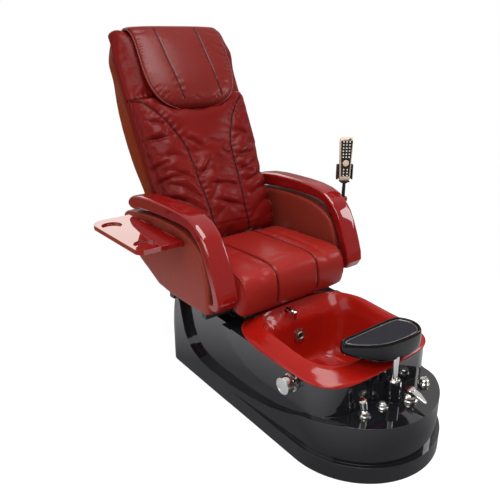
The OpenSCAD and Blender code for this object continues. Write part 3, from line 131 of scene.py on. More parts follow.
def add_node(tree, kind, settings=()):
    node = tree.nodes.new(kind)
    for key, value in dict(settings).items():
        if isinstance(value, bpy.types.NodeSocket):
            tree.links.new(value, node.inputs[key])
        elif isinstance(key, str) and hasattr(node, key) and key not in node.inputs:
            setattr(node, key, value)
        else:
            node.inputs[key].default_value = value
    return node


def maths(tree, operation, first, second):
    return add_node(tree, "ShaderNodeMath", {"operation": operation, 0: first, 1: second}).outputs[0]


def scaled(tree, source, low=0.0, high=1.0, to_low=0.0, to_high=1.0):
    """Maps the range from low to high onto the range from to_low to to_high, and stops at its ends."""
    settings = {"From Min": low, "From Max": high, "To Min": to_low, "To Max": to_high, "Value": source}
    return add_node(tree, "ShaderNodeMapRange", settings).outputs["Result"]


def mix_colours(tree, share, low, high, mode="MIX"):
    settings = {"data_type": "RGBA", "blend_type": mode, MIX_SHARE: share, MIX_LOW: low, MIX_HIGH: high}
    return add_node(tree, "ShaderNodeMix", settings).outputs[MIX_RESULT]


def mix_shaders(tree, share, low, high):
    return add_node(tree, "ShaderNodeMixShader", {0: share, 1: low, 2: high}).outputs[0]

# %% [markdown]
# ## World
#
# The camera sees the world as white. Mirror rays see a room: grey walls and a pale ceiling over its rear
# half, which draws the highlights on lacquer and gelcoat. All other rays see an even, faintly blue light.

# %% World
WHITE = (1, 1, 1, 1)
ROOM_WALL = (0.30, 0.28, 0.27, 1)
ROOM_CEILING = (0.66, 0.64, 0.64, 1)
CEILING_UP = (0.24, 0.40)  # how far up a ray looks where wall turns into ceiling
CEILING_REAR = (-0.40, 0.0)  # how far to the rear it looks there
AMBIENT = {"Color": (0.80, 0.81, 0.84, 1), "Strength": 0.62}

world = bpy.data.worlds.new("studio")
scene.world = world
world.use_nodes = True
sky = world.node_tree
sky.nodes.clear()
rays = add_node(sky, "ShaderNodeLightPath").outputs
mirrored = maths(sky, "MAXIMUM", rays["Is Glossy Ray"], rays["Is Transmission Ray"])
seen = maths(sky, "MAXIMUM", rays["Is Camera Ray"], mirrored)
facing = add_node(sky, "ShaderNodeTexCoord").outputs["Generated"]
heading = add_node(sky, "ShaderNodeSeparateXYZ", {"Vector": facing}).outputs
upward = scaled(sky, heading["Z"], *CEILING_UP)
rearward = scaled(sky, heading["Y"], *CEILING_REAR)
room = mix_colours(sky, maths(sky, "MULTIPLY", upward, rearward), ROOM_WALL, ROOM_CEILING)
backdrop = mix_colours(sky, rays["Is Camera Ray"], room, WHITE)
bright = add_node(sky, "ShaderNodeBackground", {"Color": backdrop}).outputs[0]
ambient = add_node(sky, "ShaderNodeBackground", AMBIENT).outputs[0]
add_node(sky, "ShaderNodeOutputWorld", {"Surface": mix_shaders(sky, seen, ambient, bright)})
scene.view_settings.view_transform = "Standard"
print("world:", len(sky.nodes), "nodes")

# %% [markdown]
# ## Finishes
#
# A colour is written as its sRGB hex value, as a paint card gives it, and turned to the linear light that
# shaders work in. A finish is a Principled BSDF whose colour or roughness drifts a little, with a bump for
# its skin, both laid on the object's own coordinates.


def srgb(code):
    values = [int(code[i:i + 2], 16)/255 for i in (1, 3, 5)]
    linear = [v/12.92 if v <= 0.04045 else ((v + 0.055)/1.055)**2.4 for v in values]
    return (*linear, 1)


def finish(name, slot, colour, roughness, **sockets):
    """New material; its slot argument is not used. A socket's name is given with underscores for its spaces.
    """
    material = bpy.data.materials.new(name)
    material.use_nodes = True
    tree = material.node_tree
    shader = tree.nodes["Principled BSDF"]
    shader.inputs["Base Color"].default_value = srgb(colour)
    shader.inputs["Roughness"].default_value = roughness
    for socket, value in sockets.items():
        shader.inputs[socket.replace("_", " ")].default_value = value
    return material, tree, shader


def on_object(tree, kind, **settings):
    """Outputs of a texture that is laid on the object's own coordinates."""
    place = add_node(tree, "ShaderNodeTexCoord").outputs["Object"]
    return add_node(tree, kind, {"Vector": place, **settings}).outputs


def cloudy(tree, colour, deep, scale, detail):
    clouds = on_object(tree, "ShaderNodeTexNoise", Scale=scale, Detail=detail)["Fac"]
    return mix_colours(tree, clouds, srgb(colour), srgb(deep))


def skin(tree, shader, height, strength, depth_mm):
    """Bump of a finish: height is an output from 0 to 1, and depth is what its full height stands for."""
    settings = {"Strength": strength, "Distance": depth_mm*MM, "Height": height}
    bump = add_node(tree, "ShaderNodeBump", settings)
    tree.links.new(bump.outputs["Normal"], shader.inputs["Normal"])

# %% [markdown]
# Gelcoat is the pigmented polyester skin of a moulded fibreglass shell: glossy, with a faint waviness.
# Lacquer on the arms and the tray is harder and clearer.

# %% Gelcoat and lacquer
def gloss(name, slot, colour, deep, roughness, wave_mm=60, coat=0.0, shine=0.3):
    material, tree, shader = finish(name, slot, colour, roughness, Specular_IOR_Level=shine, Coat_Weight=coat,
                                    Coat_IOR=1.9, Coat_Roughness=0.02)
    tree.links.new(cloudy(tree, colour, deep, 6.0, 3.0), shader.inputs["Base Color"])
    waves = on_object(tree, "ShaderNodeTexNoise", Scale=1/(wave_mm*MM), Detail=1.0)["Fac"]
    skin(tree, shader, waves, 0.06, 0.5)
    return material


black_gelcoat = gloss("black_gelcoat", "gelcoat_black", "#101013", "#16161a", 0.07, coat=0.3, shine=0.5)
rest_gelcoat = gloss("footrest_gelcoat", "footrest_gloss", "#0a0a0d", "#0f0f13", 0.06)
red_gelcoat = gloss("red_gelcoat", "gelcoat_red", "#98140c", "#861009", 0.15)
wine_lacquer = gloss("wine_lacquer", "lacquer_red", "#80100f", "#700d0d", 0.05, 80, coat=0.18, shine=0.4)
tray_lacquer = gloss("tray_lacquer", "lacquer_red", "#80100f", "#700d0d", 0.04, 80, coat=0.7, shine=0.5)
brown_lacquer = gloss("brown_lacquer", "shell_red", "#76280f", "#641f0a", 0.12, 80)
print("gloss finishes:", black_gelcoat.name, red_gelcoat.name, wine_lacquer.name)

# %% [markdown]
# Leather has a soft sheen and a pebbled grain about two millimetres across. Painted shade darkens it down in
# a seam or a fold valley, and each cushion keeps how much in an attribute of its points.

# %% Leather
LEATHER_ROUGHNESS = 0.31
GRAIN_MM = 2.2
# Painted shade: this share of the colour is left down in a seam or a fold valley.
DEEP_SHADE = 0.35  # share of the colour that is left down in a seam


def leather(name, slot, colour, deep, shine):
    material, tree, shader = finish(name, slot, colour, LEATHER_ROUGHNESS, Specular_IOR_Level=shine)
    # Painted shade: the seam attribute darkens the colour along seams and down in fold valleys.
    seam = add_node(tree, "ShaderNodeAttribute", {"attribute_name": "seam"}).outputs["Fac"]
    shade = scaled(tree, seam, to_low=1.0, to_high=DEEP_SHADE)
    sewn = mix_colours(tree, 1.0, cloudy(tree, colour, deep, 5.0, 4.0), shade, "MULTIPLY")
    tree.links.new(sewn, shader.inputs["Base Color"])
    pebbles = on_object(tree, "ShaderNodeTexVoronoi", Scale=1/(GRAIN_MM*MM))["Distance"]
    skin(tree, shader, pebbles, 0.12, 0.4)
    return material


back_leather = leather("burgundy_leather", "leather_seat", "#6a110e", "#560b09", 0.1)
# Painted light: the seat wears a lighter copy of the back's leather.
seat_leather_painted_light = leather("seat_leather_painted_light", "leather_seat", "#8c1e19", "#7c1a15", 0.16)
flap_leather = leather("flap_leather", "leather_seat", "#6a1813", "#58110d", 0.2)
side_leather = leather("side_leather", "leather_side", "#843126", "#74281d", 0.15)
trim_leather = leather("trim_leather", "leather_seat", "#703a38", "#64312f", 0.1)
thread_leather = leather("seam_leather", "leather_seat", "#3c0908", "#320706", 0.0)
print("leathers made")

# %% [markdown]
# Chrome plate is a mirror with faint cloudy patches, powder coat has an orange-peel skin about two
# millimetres across, moulded plastic has a fine spark-eroded grain, and rubber is matte.

# %% Metals, plastics and rubber
def textured(name, slot, colour, rough_low, rough_high, grain_mm, height_mm, metallic=0.0, shine=0.5):
    material, tree, shader = finish(name, slot, colour, rough_low, Metallic=metallic,
                                    Specular_IOR_Level=shine)
    clouds = on_object(tree, "ShaderNodeTexNoise", Scale=22.0, Detail=2.0)["Fac"]
    rough = scaled(tree, clouds, to_low=rough_low, to_high=rough_high)
    tree.links.new(rough, shader.inputs["Roughness"])
    grain = on_object(tree, "ShaderNodeTexNoise", Scale=1/(grain_mm*MM), Detail=2.0)["Fac"]
    skin(tree, shader, grain, 0.3, height_mm)
    return material


chrome = textured("polished_chrome", "fittings_chrome", "#e2e1de", 0.07, 0.14, 20, 0.008, metallic=1.0)
button_chrome = textured("button_chrome", "fittings_chrome", "#f2f3f3", 0.3, 0.4, 20, 0.005, metallic=1.0)
satin_chrome = textured("satin_chrome", "jet_chrome", "#a9a49c", 0.24, 0.34, 1.5, 0.03, metallic=1.0)
bright_steel = textured("bright_steel", "runner_steel", "#b4b8bc", 0.2, 0.32, 2, 0.03, metallic=1.0)
powder_coat = textured("dark_powder_coat", "frame_steel", "#26282b", 0.42, 0.56, 2.2, 0.12)
black_plastic = textured("black_plastic", "bracket_dark", "#151618", 0.32, 0.44, 1.2, 0.04)
black_rubber = textured("black_rubber", "lead_black", "#1a1b1e", 0.55, 0.7, 1.6, 0.08, shine=0.3)
pad_vinyl = textured("pad_vinyl", "footrest_mat", "#10101a", 0.5, 0.62, 2.0, 0.15, shine=0.25)
pale_plastic = textured("pale_plastic", "handset_keys", "#d8d4c6", 0.34, 0.46, 1.2, 0.03)
beige_plastic = textured("beige_plastic", "handset_case", "#c3ac96", 0.3, 0.42, 1.2, 0.03)
white_pipe = textured("white_pipe", "pipe_white", "#dcdad3", 0.3, 0.42, 3, 0.05)
print("metals, plastics and rubber made")

# %% [markdown]
# Every part of the frame gets its finish, also where a copy stands for it later.

# %% Plain finishes
plain_finishes = [
    (black_gelcoat, "base_shell"), (red_gelcoat, "tub"), (rest_gelcoat, "footrest_shell"),
    (powder_coat, "base_frame seat_frame arm_brackets back_frame massage_carriage"),
    (bright_steel, "slide_rails slide_screw footrest_sleeve hinge_pins recline_rod massage_rods"),
    (black_plastic, "pump control_box slide_shoes recline_actuator tray_bracket"),
    (black_plastic, "remote_cradle remote_post remote"), (black_rubber, "floor_pads remote_lead"),
    (satin_chrome, "water_jet"), (white_pipe, "pump_pipe"), (pad_vinyl, "footrest_pad"),
    (pale_plastic, "remote_keys remote_dial kneading_wheels"), (seat_leather_painted_light, "seat_cushion"),
    (back_leather, "back_cushion"), (flap_leather, "headrest_flap"),
    (side_leather, "side_panel_left side_panel_right"), (tray_lacquer, "tray"),
    (wine_lacquer, "arm_left arm_right tray_rail remote_bracket"), (brown_lacquer, "back_shell"),
]
node_finish = {node: material for material, nodes in plain_finishes for node in nodes.split()}
for name, part in parts.items():
    part.data.materials.clear()
    part.data.materials.append(node_finish.get(name, chrome))
print("finished:", len(node_finish), "parts by name, the others in chrome")

# %% [markdown]
# ## Leather cushions
#
# A cushion is cut leather sewn round foam, and its surface is what is left when foam pushes out and the
# seams pull in. Each cushion starts as a copy of its plain solid, is remeshed into an even net, and is blown
# up by a short cloth simulation with its seams pinned. Folds, grooves and piping follow afterwards.
#
# The back leans, so it is worked on in axes of its own, in millimetres from the hinge: across, through it
# to the rear, and up along it.

# %% The back's own axes
HINGE = np.array([0.0, 540.0, 470.0])
LEAN = math.radians(26)
UP_BACK = np.array([0.0, math.sin(LEAN), math.cos(LEAN)])
THROUGH_BACK = np.array([0.0, math.cos(LEAN), -math.sin(LEAN)])


def to_back(points):
    rel = points/MM - HINGE
    return np.column_stack([rel[:, 0], rel @ THROUGH_BACK, rel @ UP_BACK])


def from_back(local):
    world = HINGE + np.outer(local[:, 1], THROUGH_BACK) + np.outer(local[:, 2], UP_BACK)
    world[:, 0] += local[:, 0]
    return world*MM


print("the back leans", round(math.degrees(LEAN)), "degrees")

# %% [markdown]
# Distances to seams and folds are taken on flat points, as the cushion's front shows them.

# %% Points and lines
FAR = 1e9  # millimetres, for a point that is on no seam


def read_points(piece, what="co"):
    values = np.empty(3*len(piece.data.vertices))
    piece.data.vertices.foreach_get(what, values)
    return values.reshape(-1, 3)


def write_points(piece, points):
    piece.data.vertices.foreach_set("co", points.ravel())
    piece.data.update()


def push_out(piece, lift_mm):
    """Moves each point along its normal by its own number of millimetres."""
    write_points(piece, read_points(piece) + read_points(piece, "normal")*lift_mm[:, None]*MM)


def smooth_step(x, a, b):
    share = np.clip((x - a)/(b - a), 0, 1)
    return share*share*(3 - 2*share)


def along_line(points, line):
    """Distance to a polyline, place along it, side (1 above it, -1 below), and the line's length."""
    best = np.full(len(points), FAR)
    along = np.zeros(len(points))
    side = np.ones(len(points))
    run = 0.0
    for a, b in zip(line[:-1], line[1:]):
        a, b = np.array(a, float), np.array(b, float)
        step = b - a
        share = np.clip((points - a) @ step/(step @ step), 0, 1)
        gap = np.linalg.norm(points - a - np.outer(share, step), axis=1)
        cross = step[0]*(points[:, 1] - a[1]) - step[1]*(points[:, 0] - a[0])
        above = np.where(cross*(1 if step[0] >= 0 else -1) > 0, 1, -1)
        near = gap < best
        best[near] = gap[near]
        along[near] = run + share[near]*np.linalg.norm(step)
        side[near] = above[near]
        run += np.linalg.norm(step)
    return best, along, side, run


def nearest_line(flat, lines):
    return np.min([along_line(flat, line)[0] for line in lines], axis=0)


def mirrored_line(line):
    return [(-x, t) for x, t in line]

# %% [markdown]
# The copy is merged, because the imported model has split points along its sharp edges. The cloth solver
# runs with gravity off.

# %% Copy, remesh and inflate
CLOTH_FRAMES = 20
MERGE_WITHIN = 0.05*MM
STILL = 1e-9  # metres, below which a point counts as unmoved
LEATHER_CLOTH = {"quality": 4, "mass": 0.3, "air_damping": 2.0, "tension_stiffness": 18,
                 "compression_stiffness": 12, "shear_stiffness": 6, "use_pressure": True,
                 "pin_stiffness": 1.0}


def select_only(piece):
    bpy.ops.object.select_all(action="DESELECT")
    piece.select_set(True)
    bpy.context.view_layer.objects.active = piece


def apply_modifier(piece, modifier):
    select_only(piece)
    bpy.ops.object.modifier_apply(modifier=modifier.name)


def edit_all(piece, operator, **options):
    """Runs one mesh operator on all of a piece."""
    select_only(piece)
    bpy.ops.object.mode_set(mode="EDIT")
    bpy.ops.mesh.select_all(action="SELECT")
    operator(**options)
    bpy.ops.object.mode_set(mode="OBJECT")


def shade_smooth(piece, degrees):
    select_only(piece)
    bpy.ops.object.shade_smooth_by_angle(angle=math.radians(degrees))


def merged_copy(name, node):
    mesh = parts[node].data.copy()
    mesh.transform(parts[node].matrix_world)
    piece = bpy.data.objects.new(name, mesh)
    scene.collection.objects.link(piece)
    edit_all(piece, bpy.ops.mesh.remove_doubles, threshold=MERGE_WITHIN)
    return piece


def even_net(piece, voxel_mm):
    remesh = piece.modifiers.new("net", "REMESH")
    remesh.mode = "VOXEL"
    remesh.voxel_size = voxel_mm*MM
    apply_modifier(piece, remesh)


def inflate(piece, pins, cap_mm, pressure, spare, bend):
    """Blows leather up: pins holds each point's weight, spare is the extra leather, the cap limits moves."""
    start = read_points(piece)
    group = piece.vertex_groups.new(name="pins")
    rounded = np.round(pins, 1)
    for weight in np.unique(rounded):
        members = np.nonzero(rounded == weight)[0]
        group.add([int(i) for i in members], float(weight), "REPLACE")
    cloth = piece.modifiers.new("leather", "CLOTH")
    settings = cloth.settings
    for name, value in LEATHER_CLOTH.items():
        setattr(settings, name, value)
    settings.bending_stiffness = bend
    settings.uniform_pressure_force = pressure
    settings.shrink_min = -spare
    settings.vertex_group_mass = group.name
    settings.effector_weights.gravity = 0
    for frame_number in range(1, CLOTH_FRAMES + 1):
        scene.frame_set(frame_number)
    apply_modifier(piece, cloth)
    scene.frame_set(1)
    piece.vertex_groups.clear()
    moved = read_points(piece) - start
    far = np.linalg.norm(moved, axis=1)
    limit = cap_mm*MM
    keep = np.where(far > STILL, limit*np.tanh(far/limit)/np.maximum(far, STILL), 0)
    write_points(piece, start + moved*keep[:, None])
    print(piece.name, "moved at most", round(float((far*keep).max())/MM, 1), "mm")


def subdivide(piece):
    net = piece.modifiers.new("finer", "SUBSURF")
    net.levels = 1
    net.render_levels = 1
    apply_modifier(piece, net)
    for polygon in piece.data.polygons:
        polygon.use_smooth = True


def relax(piece, times):
    soften = piece.modifiers.new("relax", "SMOOTH")
    soften.iterations = times
    soften.factor = 0.5
    apply_modifier(piece, soften)

# %% [markdown]
# Leather is sunk along each seam, puckered beside it, slack in round swellings and folded here and there.
# Each is a height along the normals, in waves that slower ones bend, so that no two are alike.

# %% Seams, puckers and folds
# Painted shade: the seams' shade is painted into the leather's colour over this reach.
SEAM_SHADE_REACH = (2, 8)  # millimetres from a seam over which its shade dies out
OPEN_LEATHER = (6, 34)  # millimetres from a seam over which slack leather rises


def store_painted_shade(piece, distance, valleys=0.0):
    """Keeps for the shader the painted shade of each point, from 0 to 1: near a seam, or the share given in a
    fold.
    """
    store = piece.data.attributes.new("seam", "FLOAT", "POINT")
    closeness = np.maximum(1 - smooth_step(distance, *SEAM_SHADE_REACH), valleys)
    store.data.foreach_set("value", closeness.astype(np.float32))


def sew(piece, distance, depth, width):
    """Pulls a narrow groove along each sewn line, from the points' distance to the lines."""
    push_out(piece, -depth*np.exp(-(distance/width)**2))


def gather(piece, flat, lines, mask, pitch_mm, height_mm, reach_mm):
    """Puckers along a sewn line: short ridges across it that die out away from the stitches."""
    lift = np.zeros(len(flat))
    for number, line in enumerate(lines):
        gap, along, _, _ = along_line(flat, line)
        uneven = 0.55 + 0.45*np.sin(along/41 + 1.7*number)
        ridge = np.sin(2*np.pi*along/pitch_mm + 1.3*np.sin(along/33 + number))
        lift += height_mm*ridge*uneven*np.exp(-((gap - 0.6*reach_mm)/(0.6*reach_mm))**2)
    push_out(piece, np.where(mask, lift, 0))


def slack(piece, flat, away, mask, pitch_mm, height_mm, tilt):
    """Loose leather lies in round swellings with sharp valleys between them, here one per pitch."""
    across, up = flat[:, 0], flat[:, 1]
    bend = 16*np.sin(up/83 + across/61) + 11*np.sin(across/37 - up/140)
    wave = np.abs(np.sin(np.pi*(up + tilt*np.abs(across) + bend)/pitch_mm))
    strength = 0.62 + 0.38*np.sin(up/71 + across/53)
    inside = smooth_step(away, *OPEN_LEATHER)
    push_out(piece, np.where(mask, height_mm*(wave - 0.55)*strength*inside, 0))
    # How deep each point lies in a valley, for the painted shade of the folds.
    return np.where(mask, (1 - wave)**3*strength*inside, 0)


def crease(piece, flat, lines, mask, depth, width):
    """Presses a fold into the leather: a narrow valley, a round crest above it and a slack slope below."""
    lift = np.zeros(len(flat))
    for line in lines:
        gap, along, side, length = along_line(flat, line)
        away = gap*side
        fade = smooth_step(along, -0.01, 0.3*length)*(1 - smooth_step(along, 0.7*length, 1.01*length))
        valley = np.exp(-(away/(0.6*width))**2)
        crest = 0.8*np.exp(-((away - 1.9*width)/(1.2*width))**2)
        slope = 0.35*np.exp(-((away + 2.4*width)/(1.6*width))**2)
        lift += depth*(crest + slope - valley)*fade
    lift = np.where(mask, np.clip(lift, -1.3*depth, 1.2*depth), 0)
    push_out(piece, lift)
    # How deep each point lies in the fold's valley, for its painted shade.
    return np.clip(-lift/depth, 0, 1)

# %% [markdown]
# Piping and thread are thin tubes. Their routes are given flat and dropped onto the cushion by rays.

# %% Dressing and piping
def dress(piece, node, material):
    """Gives the piece its finish and lets it stand for its solid, on the same moving body."""
    piece.data.materials.clear()
    piece.data.materials.append(material)
    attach(piece, parts[node]["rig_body"])
    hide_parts(node)
    return piece


def dense(points, step_mm):
    """The route through the points, rounded a little and cut into even steps."""
    points = np.array(points, float)
    for _ in range(2):
        inner = [points[0]]
        for a, b in zip(points[:-1], points[1:]):
            inner += [0.75*a + 0.25*b, 0.25*a + 0.75*b]
        points = np.array(inner + [points[-1]])
    run = np.concatenate([[0], np.cumsum(np.linalg.norm(np.diff(points, axis=0), axis=1))])
    at = np.linspace(0, run[-1], max(3, int(run[-1]/step_mm)))
    return np.column_stack([np.interp(at, run, points[:, k]) for k in range(points.shape[1])])


def tube(name, route, radius_mm, material, body):
    """Round piping along a route in metres."""
    data = bpy.data.curves.new(name, "CURVE")
    data.dimensions = "3D"
    data.bevel_depth = radius_mm*MM
    data.bevel_resolution = 2
    data.use_fill_caps = True
    line = data.splines.new("POLY")
    line.points.add(len(route) - 1)
    for point, place in zip(line.points, route):
        point.co = (*place, 1)
    piece = bpy.data.objects.new(name, data)
    scene.collection.objects.link(piece)
    select_only(piece)
    bpy.ops.object.convert(target="MESH")
    piece = bpy.context.object
    piece.data.materials.append(material)
    shade_smooth(piece, 60)
    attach(piece, body)
    return piece


def cast_on(piece, starts, aim, lift_mm):
    """Drops each start point along its aim onto the piece's surface."""
    found = []
    for start, direction in zip(starts, aim):
        hit, place, normal, _ = piece.ray_cast(Vector(start), Vector(direction))
        if hit:
            found.append(np.array(place) + np.array(normal)*lift_mm*MM)
    return np.array(found)


def front_line(piece, flat, lift_mm):
    """A route given across and up the back, dropped onto the front of a piece of the back."""
    flat = dense(flat, 8)
    before = np.full(len(flat), -300.0)
    starts = from_back(np.column_stack([flat[:, 0], before, flat[:, 1]]))
    return cast_on(piece, starts, [THROUGH_BACK]*len(flat), lift_mm)

# %% [markdown]
# ## Back cushion
#
# The back has a smooth middle panel and two loose side panels, sewn along bowed seams, that gather into
# slanting folds. It is thinner where the headrest flap lies. Its front is laid out again from tables, then
# inflated. Shares are of its length and width, and all else is millimetres across it and up along it.

# %% Tables of the back
BACK_W = 300.0  # half its width
BACK_LOW, BACK_TOP = 40.0, 1000.0
up_share = np.array([0, .02, .06, .16, .28, .36, .44, .52, .575, .61, .70, .80, .90, .965, .99, 1])
up_width = np.array([.86, .89, .905, .91, .915, .945, .98, .99, .99, .99, .99, .985, .985, .98, .965, .93])
body_depth = np.interp(up_share, [0, .02, .06, .16, .5, 1], [80, 112, 126, 130, 120, 112])
neck_depth = np.interp(up_share, [0, .9, .965, .99, 1], [88, 86, 83, 74, 56])
across_share = np.array([0, .3, .55, .75, .86, .95, .99, 1])
across_depth = np.array([1, .995, .985, .955, .90, .76, .42, 0])
flap_up = [620, 633, 645, 664, 692, 735, 790, 1015]
flap_half = [0, 60, 138, 172, 198, 216, 226, 240]
NECK_UP = (596, 626)  # heights over which the depth goes over to the neck's
FLAP_LOW = 625  # below this height no flap lies on the back
SHOULDER_UP = (690, 708)  # heights over which the side panels end beside the flap
FLAP_BESIDE = (-26, 4)  # distances from the flap's edge over which they rise
inner_seam = [(92, 60), (92, 172), (98, 246), (105, 319), (108, 377), (113, 445), (126, 487), (145, 529),
              (172, 581), (210, 632), (250, 668), (292, 700)]
shoulder_seam = [(150, 704), (220, 702), (296, 704)]
seam_left = mirrored_line(inner_seam)
shoulder_left = mirrored_line(shoulder_seam)
back_seams = (inner_seam, seam_left, shoulder_seam, shoulder_left)
back_folds = [
    [(-292, 391), (-250, 405), (-205, 412)], [(-284, 330), (-227, 342), (-150, 338)],
    [(-300, 520), (-240, 512), (-180, 520)], [(-262, 590), (-220, 582), (-180, 566)],
    [(-118, 505), (-72, 481), (-42, 446)], [(108, 402), (70, 412), (33, 446)],
    [(-104, 322), (-55, 352), (-23, 400)], [(-68, 287), (20, 277), (100, 251)],
    [(133, 514), (184, 506), (236, 476)], [(114, 385), (170, 388), (250, 412)],
    [(114, 342), (146, 322), (200, 306)], [(-69, 220), (-9, 195), (80, 165)],
    [(-290, 262), (-238, 252), (-180, 215)],
]


def lay_front(local, facing):
    """Depth of the cushion's front from its tables, where a point faces forwards."""
    across, up = np.abs(local[:, 0]), local[:, 2]
    share = np.clip((up - BACK_LOW)/(BACK_TOP - BACK_LOW), 0, 1)
    half = BACK_W*np.interp(share, up_share, up_width)
    beside = np.clip(across/half, 0, 1)
    covered = np.interp(up, flap_up, flap_half, left=0)
    full = np.interp(share, up_share, body_depth)
    thin = np.interp(share, up_share, neck_depth)
    raised = (1 - smooth_step(up, *SHOULDER_UP))*smooth_step(across - covered, *FLAP_BESIDE)
    raised = np.where(up < FLAP_LOW, 1, raised)
    low = smooth_step(up, *NECK_UP)
    depth = full*(1 - low) + (thin + (full - thin)*raised)*low
    depth = depth*np.interp(beside, across_share, across_depth)
    return np.where(facing, -depth, local[:, 1])


print("seams on the back:", len(back_seams), "folds:", len(back_folds))

# %% [markdown]
# Only the front is laid out again. The pins hold the rear half and a strip along each seam.

# %% Inflate the back
FRONT_THROUGH = -24
FRONT_HALF = 0.975*BACK_W
FRONT_UP = 52
PINNED_REAR = (-62, -34)  # depths over which the pins take hold
PINNED_SEAM = (5, 16)  # distances from a seam over which they let go

back = merged_copy("back_leather", "back_cushion")
even_net(back, 9)
local = to_back(read_points(back))
front = (local[:, 1] < FRONT_THROUGH) & (np.abs(local[:, 0]) < FRONT_HALF) & (local[:, 2] > FRONT_UP)
local[:, 1] = lay_front(local, front)
write_points(back, from_back(local))
relax(back, 3)
local = to_back(read_points(back))
from_seam = nearest_line(local[:, [0, 2]], back_seams)
pins = np.maximum(smooth_step(local[:, 1], *PINNED_REAR), 1 - smooth_step(from_seam, *PINNED_SEAM))
inflate(back, pins, 15, pressure=5.0, spare=0.01, bend=14.0)
relax(back, 2)
subdivide(back)
print("back cushion:", len(back.data.polygons), "faces")

# %% [markdown]
# The side panels are slack in slanting swellings, and the middle panel in flatter, wider ones.

# %% Folds of the back
SIDE_UP = (90, 650)  # heights between which the side panels are slack
MIDDLE_UP = (110, 500)  # and the middle panel
FOLDED_THROUGH = -50  # depth before which leather is folded
inner_up = [60, 377, 487, 581, 700]
inner_half = [92, 108, 126, 172, 292]

local = to_back(read_points(back))
flat = local[:, [0, 2]]
across, up = np.abs(local[:, 0]), local[:, 2]
faces_out = smooth_step(-local[:, 1], 58, 84) > 0.5
folded = local[:, 1] < FOLDED_THROUGH
from_seam = nearest_line(flat, back_seams)
from_edge = BACK_W*0.93 - across
middle_half = np.interp(up, inner_up, inner_half)
side_area = faces_out & (across > middle_half) & (up > SIDE_UP[0]) & (up < SIDE_UP[1])
middle_area = faces_out & (across < middle_half) & (up > MIDDLE_UP[0]) & (up < MIDDLE_UP[1])
from_top = smooth_step(MIDDLE_UP[1] - up, 0, 60)
valleys = slack(back, flat, np.minimum(from_seam, from_edge), side_area, pitch_mm=74, height_mm=11.5,
                tilt=-0.35)
valleys += slack(back, flat, from_seam*from_top, middle_area, pitch_mm=96, height_mm=7.5, tilt=0.6)
valleys += crease(back, flat, back_folds, folded, depth=6.5, width=12)
gather(back, flat, back_seams, folded, pitch_mm=27, height_mm=1.6, reach_mm=22)
print("deepest valley:", round(float(valleys.max()), 2))

# %% [markdown]
# The cushion's sides are drawn out to its shell. Its upper corners stand up as two ears, and the right one
# leans outwards. The seams are sewn last.

# %% Edges and seams of the back
WALL_UP, WALL_HALF = [60, 380, 600], [262, 290, 296]  # where the shell's wall stands beside the cushion
WALL_REACH = 40  # most that a side is drawn out
EAR_RISE, EAR_LEAN = 20, 15
SEWN_THROUGH = -40
# Share of painted shade down in the deepest fold valleys.
FOLD_SHADE = 0.35

local = to_back(read_points(back))
beside_shell = smooth_step(local[:, 1], -72, -46)*(1 - smooth_step(local[:, 2], 900, 960))
wall = np.interp(local[:, 2], WALL_UP, WALL_HALF)
reach_out = np.clip(wall - np.abs(local[:, 0]), 0, WALL_REACH)*(np.abs(local[:, 0]) > 200)
local[:, 0] += np.sign(local[:, 0])*reach_out*beside_shell
ear = smooth_step(local[:, 2], 930, 990)*smooth_step(np.abs(local[:, 0]), 190, 260)
local[:, 2] += EAR_RISE*ear
local[:, 0] += EAR_LEAN*np.exp(-((local[:, 2] - 900)/60)**2)*smooth_step(local[:, 0], 200, 280)
write_points(back, from_back(local))
from_seam = np.where(local[:, 1] < SEWN_THROUGH, nearest_line(local[:, [0, 2]], back_seams), FAR)
sew(back, from_seam, depth=4.5, width=5.0)
# Painted shade along the seams and down in the fold valleys.
store_painted_shade(back, from_seam, FOLD_SHADE*np.clip(valleys, 0, 1))
dress(back, "back_cushion", back_leather)
print("back sewn")

# %% [markdown]
# Dark thread lies in each seam, and a piping runs down both edges of the front.

# %% Thread and piping of the back
THREAD_R, THREAD_LIFT = 1.1, -0.4
PIPING_R, PIPING_LIFT = 2.6, 1.0
edge_up = np.array([80, 140, 220, 296, 374, 454, 529, 617, 704])
edge_out = np.array([252, 254, 256, 259, 272, 286, 293, 295, 294]) - 3

back_threads = {"back_seam_left": seam_left + seam_left[-1:], "back_seam_right": inner_seam + inner_seam[-1:],
                "shoulder_seam_left": shoulder_left, "shoulder_seam_right": shoulder_seam}
for name, line in back_threads.items():
    tube(name, front_line(back, line, THREAD_LIFT), THREAD_R, thread_leather, "back")
for label, side in (("left", -1), ("right", 1)):
    route = list(zip(side*edge_out, edge_up))
    tube("back_piping_" + label, front_line(back, route, PIPING_LIFT), PIPING_R, back_leather, "back")
print("back seams laid")

# %% [markdown]
# ## Headrest flap
#
# The flap is a flat pillow that hangs over the top of the back, blown up between its two vertical seams.
# Short creases gather beside the pale piping of its edge. That edge is given across, through and up, on the
# right side from the top down.

